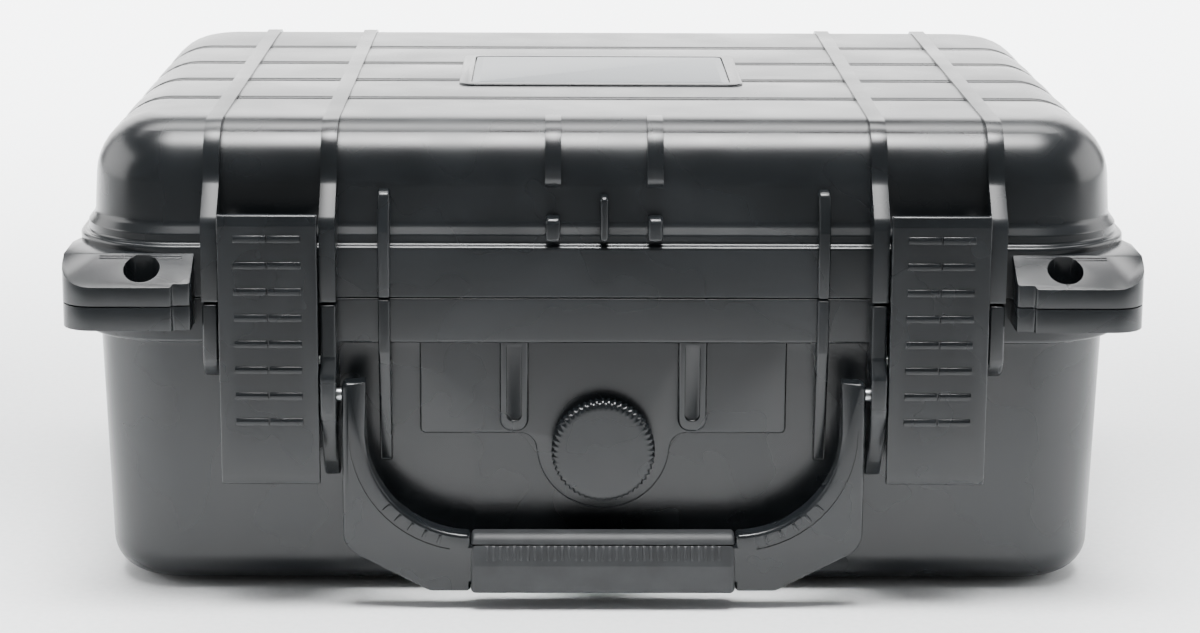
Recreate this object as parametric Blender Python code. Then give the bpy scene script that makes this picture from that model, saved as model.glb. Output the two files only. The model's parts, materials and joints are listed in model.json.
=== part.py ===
"""Moulded carrying case for a drone: a ribbed two-part shell with latches, handle and valve.

Units are metres, +Z is up and the front, with its latches and handle, faces -Y.
The origin is the centre of the case's underside.
"""

import math

import bmesh
import bpy
from mathutils import Matrix, Vector

MM = 0.001

# Driving sizes of the whole case.
FLANGE_HALF_X = 202 * MM
FLANGE_HALF_Y = 148 * MM
FLANGE_RADIUS = 40 * MM
PARTING_Z = 118.5 * MM
TOP_Z = 184 * MM
UNDERSIDE_Z = 2 * MM
FRONT_REACH = 165 * MM          # the furthest that a tab, latch or hinge stands from the centre
RIM_GAP = 0.3 * MM              # between the two rims, and around every seated piece
WALL = 3.5 * MM

# Lid and base walls, as half sizes in X and Y with the plan radius of their corners.
LID_TOP_WALL = (194 * MM, 141 * MM, 34 * MM)
LID_LOW_WALL = (196.5 * MM, 143.5 * MM, 36 * MM)
LID_LEDGE = (199 * MM, 146 * MM, 38 * MM)
BASE_HIGH_WALL = (195.5 * MM, 142 * MM, 34 * MM)
BASE_LOW_WALL = (192.5 * MM, 140 * MM, 32 * MM)
CAVITY_RIM = (189.5 * MM, 135.5 * MM, 28 * MM)
CAVITY_LOW = (187 * MM, 134.5 * MM, 27 * MM)
LID_CAVITY_HIGH = (188.5 * MM, 135 * MM, 27 * MM)
SHOULDER_RADIUS = 24 * MM       # where the lid's walls turn into its top
SHOULDER_STEPS = 4
CEILING_RADIUS = 20 * MM        # the same turn, inside
BASE_EDGE_RADIUS = 13 * MM
LID_LEDGE_Z = PARTING_Z + 24 * MM
LID_FLANGE_Z = PARTING_Z + 20 * MM
BASE_FLANGE_Z = PARTING_Z - 17.6 * MM

# Tongue on the base's rim, in the lid's groove, under the seal.
TONGUE_OUTSIDE = (196 * MM, 142 * MM, 34 * MM)
TONGUE_THICKNESS = 3 * MM
TONGUE_HEIGHT = 2.4 * MM
GROOVE_CLEARANCE = 0.7 * MM
GROOVE_DEPTH = 4.7 * MM
SEAL_HEIGHT = 2 * MM

# Grooves that part the side walls and the top into bands.
BAND_GROOVES_Y = (-72 * MM, -24 * MM, 24 * MM, 72 * MM)
BAND_GROOVE_WIDTH = 6 * MM
BAND_GROOVE_DEPTH = 2 * MM

# Front ribs, by the distance of each from the middle.
GUARD_INNER_X = 103.5 * MM
GUARD_OUTER_X = 147.5 * MM
GUARD_WIDTH = 6 * MM
THIN_RIB_X = 83 * MM
THIN_RIB_WIDTH = 4.5 * MM
STUD_RIB_X = 19.3 * MM
MIDDLE_RIB_WIDTH = 3 * MM
VALVE_RIB_X = 34 * MM
VALVE_RIB_WIDTH = 11 * MM

# Corner tabs with their padlock holes.
TAB_INNER_X = 159 * MM
TAB_OUTER_X = 203 * MM
TAB_END_RADIUS = 12 * MM
TAB_BASE_DEPTH = 9 * MM
PADLOCK_X = 173 * MM
PADLOCK_Y = -155.5 * MM
PADLOCK_RADIUS = 6.5 * MM

# Latches: a lever on a link, each on its own steel pin.
LATCH_X = 125.5 * MM
LEVER_HALF_WIDTH = 18.5 * MM
LEVER_BACK = 11 * MM            # from the flange's face out to the lever's back
LEVER_FRONT = 15 * MM
LEVER_LOW_Z = 49.5 * MM
LEVER_HIGH_Z = 153 * MM
LEVER_GROOVES = 8
LEVER_GROOVE_PITCH = 10 * MM
LEVER_GROOVE_DEPTH = 0.9 * MM
LINK_PIVOT = (4 * MM, PARTING_Z - 23 * MM)
LEVER_PIVOT = (7 * MM, PARTING_Z + 22 * MM)
LATCH_PIN_RADIUS = 1.6 * MM
PIN_PLAY = 0.4 * MM

# Handle, hanging from pins in the inner guards.
HANDLE_PIVOT_Y = -157.5 * MM
HANDLE_PIVOT_Z = 83.5 * MM
HANDLE_HALF_WIDTH = 98.7 * MM
HANDLE_ARM = 9 * MM
HANDLE_THICKNESS = 9 * MM
HANDLE_LOW_Z = 6.5 * MM
GRIP_HALF_LENGTH = 50.5 * MM
GRIP_HEIGHT = 23 * MM
GRIP_THICKNESS = 15 * MM
CORE_INSET = 4 * MM
HANDLE_PIN_RADIUS = 2.5 * MM

# Hinges at the back.
HINGE_Z = PARTING_Z + RIM_GAP / 2
KNUCKLE_RADIUS = 6.5 * MM
HINGE_Y = FRONT_REACH - KNUCKLE_RADIUS
HINGE_X = 110 * MM
KNUCKLE_WIDTH = 12 * MM
KNUCKLES = 5
KNUCKLE_GAP = 0.5 * MM
HINGE_PIN_RADIUS = 2 * MM

# Purge valve in the front wall.
VALVE_Z = 60 * MM
VALVE_PANEL_Y = -143.5 * MM
VALVE_KNOB_RADIUS = 19.75 * MM
VALVE_FLANGE_RADIUS = 15 * MM
VALVE_SHANK_RADIUS = 8 * MM
VALVE_STEM_RADIUS = 4 * MM

CORNER_STEPS = 6
ROUND_STEPS = 24


# Materials ------------------------------------------------------------------

def material(name, colour, roughness, metallic=0.0):
    mat = bpy.data.materials.get(name)
    if mat is None:
        mat = bpy.data.materials.new(name)
        mat.use_nodes = True
        shader = mat.node_tree.nodes["Principled BSDF"]
        shader.inputs["Base Color"].default_value = (*colour, 1.0)
        shader.inputs["Roughness"].default_value = roughness
        shader.inputs["Metallic"].default_value = metallic
    return mat


BLACK_SHELL = ("black polypropylene", (0.018, 0.020, 0.021), 0.42)
BLACK_NYLON = ("black nylon", (0.014, 0.015, 0.016), 0.36)
BLACK_RUBBER = ("black rubber", (0.020, 0.020, 0.021), 0.65)
CHARCOAL_FOAM = ("charcoal foam", (0.035, 0.036, 0.038), 0.95)
LABEL_GREY = ("grey label", (0.20, 0.22, 0.24), 0.45)
STEEL = ("stainless steel", (0.55, 0.56, 0.57), 0.30, 1.0)


# Mesh building --------------------------------------------------------------

def add_object(name, bm, finish, pivot=(0.0, 0.0, 0.0), parent=None):
    """Turns a world-space bmesh into an object whose origin is at pivot."""
    bmesh.ops.recalc_face_normals(bm, faces=bm.faces)
    bmesh.ops.translate(bm, verts=bm.verts, vec=-Vector(pivot))
    mesh = bpy.data.meshes.new(name)
    bm.to_mesh(mesh)
    bm.free()
    mesh.shade_smooth()
    mesh.set_sharp_from_angle(angle=math.radians(35))
    mesh.materials.append(material(*finish))
    obj = bpy.data.objects.new(name, mesh)
    bpy.context.scene.collection.objects.link(obj)
    obj.location = pivot
    if parent is not None:
        obj.parent = parent
        obj.location = Vector(pivot) - parent.location
    return obj


def combine(obj, bm, operation, label):
    """Unites a solid with an object, or cuts the object with it, by a Boolean modifier."""
    tool = add_object(f"{obj.name}_{label}", bm, BLACK_SHELL)
    tool.hide_render = True
    tool.display_type = "WIRE"
    modifier = obj.modifiers.new(label, "BOOLEAN")
    modifier.operation = operation
    modifier.object = tool
    return tool


def pivot_empty(name, location):
    empty = bpy.data.objects.new(name, None)
    bpy.context.scene.collection.objects.link(empty)
    empty.location = location
    return empty


def rounded_ring(bm, z, half_x, half_y, radius):
    """A closed ring of vertices round a rectangle with rounded corners."""
    ring = []
    for quarter, (side_x, side_y) in enumerate(((1, 1), (-1, 1), (-1, -1), (1, -1))):
        for step in range(CORNER_STEPS + 1):
            angle = math.pi / 2 * (quarter + step / CORNER_STEPS)
            x = side_x * (half_x - radius) + radius * math.cos(angle)
            y = side_y * (half_y - radius) + radius * math.sin(angle)
            ring.append(bm.verts.new((x, y, z)))
    return ring


def loft(rows, closed=False, centre=(0.0, 0.0)):
    """Joins rounded rings, given as (z, half_x, half_y, radius), into one solid."""
    bm = bmesh.new()
    rings = [rounded_ring(bm, *row) for row in rows]
    pairs = list(zip(rings, rings[1:]))
    if closed:
        pairs.append((rings[-1], rings[0]))
    for lower, upper in pairs:
        for index in range(len(lower)):
            after = (index + 1) % len(lower)
            bm.faces.new((lower[index], lower[after], upper[after], upper[index]))
    if not closed:
        bm.faces.new(tuple(reversed(rings[0])))
        bm.faces.new(rings[-1])
    bmesh.ops.translate(bm, verts=bm.verts, vec=(*centre, 0.0))
    return bm


def add_prism(bm, corners, travel):
    """Adds a flat outline to a bmesh and extrudes it by a vector."""
    face = bm.faces.new([bm.verts.new(corner) for corner in corners])
    extruded = bmesh.ops.extrude_face_region(bm, geom=[face])
    moved = [item for item in extruded["geom"] if isinstance(item, bmesh.types.BMVert)]
    bmesh.ops.translate(bm, verts=moved, vec=travel)


def add_slab(bm, outline, x_low, x_high):
    """Adds a slab between two X planes from an outline of (y, z) points."""
    add_prism(bm, [(x_low, y, z) for y, z in outline], (x_high - x_low, 0.0, 0.0))


def add_box(bm, low, high):
    (x0, y0, z0), (x1, y1, z1) = low, high
    add_prism(bm, [(x0, y0, z0), (x1, y0, z0), (x1, y1, z0), (x0, y1, z0)], (0.0, 0.0, z1 - z0))


def add_cylinder(bm, centre, axis, radius, length, steps=ROUND_STEPS):
    """Adds a cylinder centred on a point, along X, Y or Z."""
    turn = {"X": Matrix.Rotation(math.pi / 2, 4, "Y"),
            "Y": Matrix.Rotation(-math.pi / 2, 4, "X"),
            "Z": Matrix.Identity(4)}[axis]
    bmesh.ops.create_cone(bm, cap_ends=True, segments=steps, radius1=radius, radius2=radius,
                          depth=length, matrix=Matrix.Translation(centre) @ turn)


def arc(centre, radius, start_degrees, end_degrees, steps):
    points = []
    for step in range(steps + 1):
        angle = math.radians(start_degrees + (end_degrees - start_degrees) * step / steps)
        points.append((centre[0] + radius * math.cos(angle), centre[1] + radius * math.sin(angle)))
    return points


def turned(points, axis_matrix):
    """Spins a profile of (radius, height) points, which starts and ends on the axis."""
    bm = bmesh.new()
    verts = [bm.verts.new((radius, 0.0, height)) for radius, height in points]
    edges = [bm.edges.new(pair) for pair in zip(verts, verts[1:])]
    bmesh.ops.spin(bm, geom=verts + edges, cent=(0, 0, 0), axis=(0, 0, 1), angle=math.tau,
                   steps=ROUND_STEPS, use_merge=True)
    bmesh.ops.remove_doubles(bm, verts=bm.verts, dist=0.01 * MM)
    bmesh.ops.transform(bm, matrix=axis_matrix, verts=bm.verts)
    return bm


def grown(wall, amount):
    """A wall's half sizes and corner radius, moved outwards by an amount."""
    return tuple(size + amount for size in wall)


def out(distance):
    """World Y of a point that stands a distance outside the front flange's face."""
    return -(FLANGE_HALF_Y + distance)


# Shells ---------------------------------------------------------------------

def quarter_rows(wall, radius, level_z, direction, steps=3):
    """Rows that turn a wall into a flat face along a quarter circle.

    The wall ends at level_z, and the flat face lies at level_z + direction * radius.
    """
    rows = []
    for step in range(steps + 1):
        angle = math.pi / 2 * step / steps
        inset = radius * (1 - math.cos(angle))
        rows.append((level_z + direction * radius * math.sin(angle), *grown(wall, -inset)))
    return rows


def lid_rows():
    rim_z = PARTING_Z + RIM_GAP
    flange = (FLANGE_HALF_X, FLANGE_HALF_Y, FLANGE_RADIUS)
    rows = list(reversed(quarter_rows(LID_TOP_WALL, SHOULDER_RADIUS, TOP_Z - SHOULDER_RADIUS, 1,
                                      SHOULDER_STEPS)))
    rows += [(LID_LEDGE_Z, *LID_LOW_WALL), (LID_LEDGE_Z, *LID_LEDGE), (LID_FLANGE_Z, *LID_LEDGE),
             (LID_FLANGE_Z, *flange), (rim_z, *flange), (rim_z, *CAVITY_RIM)]
    rows += quarter_rows(LID_CAVITY_HIGH, CEILING_RADIUS, TOP_Z - WALL - CEILING_RADIUS, 1, 3)
    return rows


def base_rows():
    flange = (FLANGE_HALF_X, FLANGE_HALF_Y, FLANGE_RADIUS)
    tongue_in = grown(TONGUE_OUTSIDE, -TONGUE_THICKNESS)
    tongue_z = PARTING_Z + TONGUE_HEIGHT
    rows = list(reversed(quarter_rows(BASE_LOW_WALL, BASE_EDGE_RADIUS,
                                      UNDERSIDE_Z + BASE_EDGE_RADIUS, -1)))
    rows += [(BASE_FLANGE_Z, *BASE_HIGH_WALL), (BASE_FLANGE_Z, *flange), (PARTING_Z, *flange)]
    rows += [(PARTING_Z, *TONGUE_OUTSIDE), (tongue_z, *TONGUE_OUTSIDE), (tongue_z, *tongue_in),
             (PARTING_Z, *tongue_in), (PARTING_Z, *CAVITY_RIM)]
    floor_radius = 9 * MM
    rows += quarter_rows(CAVITY_LOW, floor_radius, UNDERSIDE_Z + WALL + floor_radius, -1, 2)
    return rows


def tab_plan(side):
    """Outline of a front corner tab, seen from above, on one side of the case."""
    end = arc((TAB_OUTER_X - TAB_END_RADIUS, -(FRONT_REACH - TAB_END_RADIUS)), TAB_END_RADIUS,
              -90, 0, 4)
    half_x, half_y, radius = CAVITY_RIM
    inside = arc((half_x - radius, radius - half_y), radius + WALL, -8, -90, 5)
    points = [(TAB_INNER_X, -139 * MM), (TAB_INNER_X, -FRONT_REACH)] + end
    points += [(TAB_OUTER_X, -126 * MM), (199 * MM, -112 * MM)] + inside
    return [(side * x, y) for x, y in points]


def tab_section(side):
    """A wedge that gives the lid's tab its sloped top, to be crossed with the tab's plan."""
    wedge = bmesh.new()
    outline = [(-100 * MM, PARTING_Z + RIM_GAP), (-170 * MM, PARTING_Z + RIM_GAP),
               (-170 * MM, PARTING_Z + 5 * MM), (-150 * MM, PARTING_Z + 25 * MM),
               (-100 * MM, PARTING_Z + 25 * MM)]
    low, high = sorted((side * 150 * MM, side * 210 * MM))
    add_slab(wedge, outline, low, high)
    return wedge


def guard_outline_lid():
    return [(-139 * MM, PARTING_Z + RIM_GAP), (-159 * MM, PARTING_Z + RIM_GAP),
            (-159 * MM, PARTING_Z + 30 * MM)] + shoulder_end()


def shoulder_end():
    """Where a front rib runs out over the rounded shoulder of the lid, and back inside its wall."""
    crown_radius = 17 * MM
    crown_top = TOP_Z - 0.6 * MM
    crown = arc((-127.5 * MM, crown_top - crown_radius), crown_radius, 180, 90, 4)
    return crown + [(-118 * MM, crown_top), (-118 * MM, TOP_Z - 2 * MM),
                    (-135.5 * MM, TOP_Z - 14 * MM), (-138.5 * MM, TOP_Z - 24 * MM)]


def guard_outline_base(inner):
    """The inner guard also carries the handle's pin, so it runs further out and down."""
    top = [(-138.5 * MM, PARTING_Z), (-159 * MM, PARTING_Z)]
    if inner:
        low = HANDLE_PIVOT_Z - 35 * MM
        return top + [(-159 * MM, HANDLE_PIVOT_Z + 14 * MM), (-163.5 * MM, HANDLE_PIVOT_Z + 8 * MM),
                      (-163.5 * MM, HANDLE_PIVOT_Z - 7 * MM), (-152 * MM, low + 8 * MM),
                      (-145 * MM, low), (-138 * MM, low)]
    low = PARTING_Z - 29 * MM
    return top + [(-159 * MM, low + 8 * MM), (-156 * MM, low + 2.5 * MM), (-150 * MM, low),
                  (-138.5 * MM, low)]


def add_pair(bm, outline, centre_x, width):
    """Adds the same slab on both sides of the case."""
    for side in (-1, 1):
        middle = side * centre_x
        add_slab(bm, outline, middle - width / 2, middle + width / 2)


def hinge_knuckles(outline, owned):
    """Knuckles of one shell, as slabs at the places in each row that it owns."""
    bm = bmesh.new()
    for side in (-1, 1):
        row_start = side * HINGE_X - KNUCKLES * KNUCKLE_WIDTH / 2
        for place in owned:
            low = row_start + place * KNUCKLE_WIDTH + KNUCKLE_GAP / 2
            add_slab(bm, outline, low, low + KNUCKLE_WIDTH - KNUCKLE_GAP)
    return bm


def knuckle_outline(side):
    """A round barrel with a web to its own flange: side is 1 for the lid and -1 for the base."""
    web_y = FLANGE_HALF_Y - 2 * MM
    near = HINGE_Z + side * 0.6 * MM
    far = HINGE_Z + side * KNUCKLE_RADIUS
    barrel = arc((HINGE_Y, HINGE_Z), KNUCKLE_RADIUS, side * 90, side * -180, 12)
    return [(web_y, far)] + barrel + [(HINGE_Y - KNUCKLE_RADIUS, near), (web_y, near)]


def hinge_holes():
    bm = bmesh.new()
    for side in (-1, 1):
        add_cylinder(bm, (side * HINGE_X, HINGE_Y, HINGE_Z), "X",
                     HINGE_PIN_RADIUS + PIN_PLAY, KNUCKLES * KNUCKLE_WIDTH - 6 * MM, 12)
    return bm


def padlock_holes():
    bm = bmesh.new()
    for side in (-1, 1):
        add_cylinder(bm, (side * PADLOCK_X, PADLOCK_Y, PARTING_Z), "Z", PADLOCK_RADIUS, 80 * MM, 16)
    return bm


def ring_solid(outside, inside, low_z, high_z):
    rows = [(low_z, *outside), (high_z, *outside), (high_z, *inside), (low_z, *inside)]
    return loft(rows, closed=True)


def build_lid():
    lid = add_object("lid_shell", loft(lid_rows()), BLACK_SHELL)

    grooves = bmesh.new()
    floor_rows = quarter_rows(grown(LID_TOP_WALL, -BAND_GROOVE_DEPTH),
                              SHOULDER_RADIUS - BAND_GROOVE_DEPTH, TOP_Z - SHOULDER_RADIUS, 1,
                              SHOULDER_STEPS)
    section = [(LID_LOW_WALL[0] - BAND_GROOVE_DEPTH, LID_LEDGE_Z)]
    section += [(half_x, z) for z, half_x, _, _ in floor_rows]
    clear_x, clear_z = FLANGE_HALF_X + 10 * MM, TOP_Z + 10 * MM
    outline = [(clear_x, LID_LEDGE_Z)] + section
    outline += [(-x, z) for x, z in reversed(section)]
    outline += [(-clear_x, LID_LEDGE_Z), (-clear_x, clear_z), (clear_x, clear_z)]
    for groove_y in BAND_GROOVES_Y:
        low_y = groove_y - BAND_GROOVE_WIDTH / 2
        add_prism(grooves, [(x, low_y, z) for x, z in outline], (0.0, BAND_GROOVE_WIDTH, 0.0))
    combine(lid, grooves, "DIFFERENCE", "band_grooves")

    ribs = bmesh.new()
    for centre_x in (GUARD_INNER_X, GUARD_OUTER_X):
        add_pair(ribs, guard_outline_lid(), centre_x, GUARD_WIDTH)
    thin = [(-139 * MM, PARTING_Z + RIM_GAP), (-150.5 * MM, PARTING_Z + RIM_GAP),
            (-150.5 * MM, LID_FLANGE_Z), (-146 * MM, LID_LEDGE_Z + 12 * MM),
            (-139 * MM, LID_LEDGE_Z + 15 * MM)]
    add_pair(ribs, thin, THIN_RIB_X, THIN_RIB_WIDTH)
    stud = [(-139 * MM, LID_LEDGE_Z - 1 * MM), (-149.5 * MM, LID_LEDGE_Z - 1 * MM),
            (-149.5 * MM, LID_LEDGE_Z + 5 * MM), (-147 * MM, LID_LEDGE_Z + 7 * MM),
            (-139 * MM, LID_LEDGE_Z + 7 * MM)]
    add_pair(ribs, stud, STUD_RIB_X, GUARD_WIDTH)
    add_pair(ribs, [(-142 * MM, TOP_Z - 24 * MM)] + shoulder_end(), STUD_RIB_X, GUARD_WIDTH)
    middle = [(-139 * MM, LID_LEDGE_Z - 1 * MM), (-149 * MM, LID_LEDGE_Z - 1 * MM),
              (-149 * MM, LID_LEDGE_Z + 10 * MM), (-146 * MM, LID_LEDGE_Z + 15 * MM),
              (-139 * MM, LID_LEDGE_Z + 15 * MM)]
    add_slab(ribs, middle, -MIDDLE_RIB_WIDTH / 2, MIDDLE_RIB_WIDTH / 2)
    combine(lid, ribs, "UNION", "ribs")

    for side, word in ((-1, "left"), (1, "right")):
        plan = bmesh.new()
        add_prism(plan, [(x, y, PARTING_Z + RIM_GAP) for x, y in tab_plan(side)], (0, 0, 40 * MM))
        tab = combine(lid, plan, "UNION", f"tab_{word}")
        combine(tab, tab_section(side), "INTERSECT", "slope")

    rim_z = PARTING_Z + RIM_GAP
    groove_out = grown(TONGUE_OUTSIDE, GROOVE_CLEARANCE)
    groove_in = grown(TONGUE_OUTSIDE, -TONGUE_THICKNESS - GROOVE_CLEARANCE)
    seal_groove = ring_solid(groove_out, groove_in, rim_z - 1 * MM, rim_z + GROOVE_DEPTH)
    combine(lid, seal_groove, "DIFFERENCE", "seal_groove")
    combine(lid, hinge_knuckles(knuckle_outline(1), (1, 3)), "UNION", "knuckles")
    combine(lid, hinge_holes(), "DIFFERENCE", "hinge_holes")
    combine(lid, padlock_holes(), "DIFFERENCE", "padlock_holes")

    pad = bmesh.new()
    add_box(pad, (-58 * MM, -42 * MM, TOP_Z - WALL), (58 * MM, 42 * MM, TOP_Z))
    combine(lid, pad, "UNION", "label_pad")
    recess = bmesh.new()
    add_box(recess, (-53 * MM, -38 * MM, TOP_Z - 1.2 * MM), (53 * MM, 38 * MM, TOP_Z + 5 * MM))
    combine(lid, recess, "DIFFERENCE", "label_recess")
    return lid


def build_base():
    base = add_object("base_shell", loft(base_rows()), BLACK_SHELL)

    grooves = bmesh.new()
    for groove_y in BAND_GROOVES_Y:
        for side in (-1, 1):
            wall_low, wall_high = (side * (wall[0] - BAND_GROOVE_DEPTH)
                                   for wall in (BASE_LOW_WALL, BASE_HIGH_WALL))
            low_z = UNDERSIDE_Z + BASE_EDGE_RADIUS
            outline = [(wall_low, low_z), (wall_high, BASE_FLANGE_Z - 2 * MM),
                       (side * FLANGE_HALF_X, BASE_FLANGE_Z - 2 * MM),
                       (side * FLANGE_HALF_X, low_z)]
            low_y = groove_y - BAND_GROOVE_WIDTH / 2
            add_prism(grooves, [(x, low_y, z) for x, z in outline], (0.0, BAND_GROOVE_WIDTH, 0.0))
    combine(base, grooves, "DIFFERENCE", "band_grooves")

    panel = bmesh.new()
    wall_y = -138.5 * MM
    panel_high = BASE_FLANGE_Z + 1 * MM
    add_box(panel, (-70 * MM, VALVE_PANEL_Y, VALVE_Z + 4.5 * MM), (70 * MM, wall_y, panel_high))
    combine(base, panel, "UNION", "valve_panel")
    lobe = bmesh.new()
    lobe_radius = 25.5 * MM
    lobe_depth = wall_y - VALVE_PANEL_Y
    add_cylinder(lobe, (0, VALVE_PANEL_Y + lobe_depth / 2, VALVE_Z), "Y", lobe_radius, lobe_depth)
    combine(base, lobe, "UNION", "valve_lobe")

    ribs = bmesh.new()
    add_pair(ribs, guard_outline_base(True), GUARD_INNER_X, GUARD_WIDTH)
    add_pair(ribs, guard_outline_base(False), GUARD_OUTER_X, GUARD_WIDTH)
    thin = [(-138 * MM, 54 * MM), (-143.5 * MM, 54 * MM), (-150.5 * MM, BASE_FLANGE_Z - 4 * MM),
            (-150.5 * MM, PARTING_Z), (-138 * MM, PARTING_Z)]
    add_pair(ribs, thin, THIN_RIB_X, THIN_RIB_WIDTH)
    wide = [(-138.5 * MM, 66 * MM), (-144.5 * MM, 66 * MM), (-147 * MM, 70 * MM),
            (-147 * MM, panel_high), (-138.5 * MM, panel_high)]
    add_pair(ribs, wide, VALVE_RIB_X, VALVE_RIB_WIDTH)
    combine(base, ribs, "UNION", "ribs")

    tabs = bmesh.new()
    for side in (-1, 1):
        corners = [(x, y, PARTING_Z - TAB_BASE_DEPTH) for x, y in tab_plan(side)]
        add_prism(tabs, corners, (0.0, 0.0, TAB_BASE_DEPTH))
    combine(base, tabs, "UNION", "tabs")

    combine(base, hinge_knuckles(knuckle_outline(-1), (0, 2, 4)), "UNION", "knuckles")
    combine(base, hinge_holes(), "DIFFERENCE", "hinge_holes")
    combine(base, padlock_holes(), "DIFFERENCE", "padlock_holes")

    pin_holes = bmesh.new()
    for side in (-1, 1):
        hole_length = 2 * (GUARD_OUTER_X - LATCH_X) + 4 * MM
        add_cylinder(pin_holes, (side * LATCH_X, out(LINK_PIVOT[0]), LINK_PIVOT[1]), "X",
                     LATCH_PIN_RADIUS + PIN_PLAY, hole_length, 12)
        add_cylinder(pin_holes, (side * 100 * MM, HANDLE_PIVOT_Y, HANDLE_PIVOT_Z), "X",
                     HANDLE_PIN_RADIUS + PIN_PLAY, 10 * MM, 16)
    add_cylinder(pin_holes, (0, -139 * MM, VALVE_Z), "Y", VALVE_SHANK_RADIUS + RIM_GAP, 30 * MM)
    combine(base, pin_holes, "DIFFERENCE", "holes")
    return base


def build_seal():
    seal_z = PARTING_Z + GROOVE_DEPTH
    outside = grown(TONGUE_OUTSIDE, GROOVE_CLEARANCE - RIM_GAP)
    inside = grown(TONGUE_OUTSIDE, -TONGUE_THICKNESS - GROOVE_CLEARANCE + RIM_GAP)
    seal = ring_solid(outside, inside, seal_z - SEAL_HEIGHT, seal_z)
    add_object("lid_gasket", seal, BLACK_RUBBER)


def build_label():
    bm = bmesh.new()
    add_box(bm, (-52.5 * MM, -37.5 * MM, TOP_Z - 0.9 * MM), (52.5 * MM, 37.5 * MM, TOP_Z))
    add_object("label_plate", bm, LABEL_GREY)


def build_feet():
    foot_radius, foot_x, foot_y = 9 * MM, GUARD_OUTER_X, 100 * MM
    for word_y, y in (("front", -foot_y), ("rear", foot_y)):
        for word_x, x in (("left", -foot_x), ("right", foot_x)):
            bm = bmesh.new()
            height = UNDERSIDE_Z - RIM_GAP
            add_cylinder(bm, (x, y, height / 2), "Z", foot_radius, height)
            add_object(f"foot_{word_y}_{word_x}", bm, BLACK_RUBBER)


# Foam -----------------------------------------------------------------------

def foam_size(wall, clearance=1.0 * MM):
    return grown(wall, -clearance)


TRAY_TOP_Z = 112 * MM
TRAY_LOW_Z = 30 * MM
# Pockets in the tray: name, centre x and y, half sizes and floor height.
POCKETS = (
    ("drone", -52 * MM, 58 * MM, 112 * MM, 54 * MM, 40 * MM),
    ("controller", -84 * MM, -62 * MM, 80 * MM, 50 * MM, 48 * MM),
    ("charger", 120 * MM, 62 * MM, 40 * MM, 50 * MM, 44 * MM),
    ("battery_one", 26 * MM, -58 * MM, 20 * MM, 46 * MM, 56 * MM),
    ("battery_two", 76 * MM, -58 * MM, 20 * MM, 46 * MM, 56 * MM),
    ("battery_three", 126 * MM, -58 * MM, 20 * MM, 46 * MM, 56 * MM),
)
POCKET_RADIUS = 10 * MM


def build_foam():
    pad_high = tuple(low + (high - low) * 0.05 for low, high in zip(CAVITY_LOW, CAVITY_RIM))
    floor_z = UNDERSIDE_Z + WALL + RIM_GAP
    pad_edge = 8 * MM
    rows = [(floor_z, *grown(foam_size(CAVITY_LOW), -pad_edge)),
            (floor_z + pad_edge, *foam_size(CAVITY_LOW)),
            (TRAY_LOW_Z - RIM_GAP, *foam_size(pad_high))]
    add_object("base_foam_pad", loft(rows), CHARCOAL_FOAM)

    tray = add_object("base_foam_tray", loft([(TRAY_LOW_Z, *foam_size(pad_high)),
                                              (TRAY_TOP_Z, *foam_size(CAVITY_RIM, 1.8 * MM))]),
                      CHARCOAL_FOAM)
    for name, x, y, half_x, half_y, floor in POCKETS:
        pocket = loft([(floor, half_x, half_y, POCKET_RADIUS),
                       (TRAY_TOP_Z + 5 * MM, half_x, half_y, POCKET_RADIUS)], centre=(x, y))
        combine(tray, pocket, "DIFFERENCE", f"pocket_{name}")
    relief = bmesh.new()
    reach = 18 * MM
    add_box(relief, (-reach, -145 * MM, VALVE_Z - reach), (reach, -124 * MM, VALVE_Z + reach))
    combine(tray, relief, "DIFFERENCE", "valve_relief")

    lid_foam = quarter_rows(foam_size(LID_CAVITY_HIGH), CEILING_RADIUS,
                            TOP_Z - WALL - CEILING_RADIUS - 1 * MM, 1, 3)
    low = (PARTING_Z + 1 * MM, *foam_size(CAVITY_RIM, 1.5 * MM))
    add_object("lid_foam", loft([low] + lid_foam), CHARCOAL_FOAM)


# Latches --------------------------------------------------------------------

def link_outline():
    u, z = LEVER_PIVOT
    crown = [(out(a), b) for a, b in arc((u, z), 3.6 * MM, 0, 90, 4)]
    neck_z = PARTING_Z + 4 * MM
    return link_foot() + [(out(8.4 * MM), neck_z)] + crown + [
        (out(1.2 * MM), z + 2.6 * MM), (out(0.4 * MM), z + 1.8 * MM),
        (out(0.4 * MM), z - 1.6 * MM), (out(3.4 * MM), z - 1.6 * MM),
        (out(3.4 * MM), neck_z), (out(0.4 * MM), PARTING_Z - 12 * MM)]


def link_foot():
    """The lower end of the link, round its pin."""
    low_z = LINK_PIVOT[1] - 4 * MM
    return [(out(0.4 * MM), low_z), (out(7.4 * MM), low_z), (out(8.4 * MM), low_z + 4 * MM)]


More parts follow.
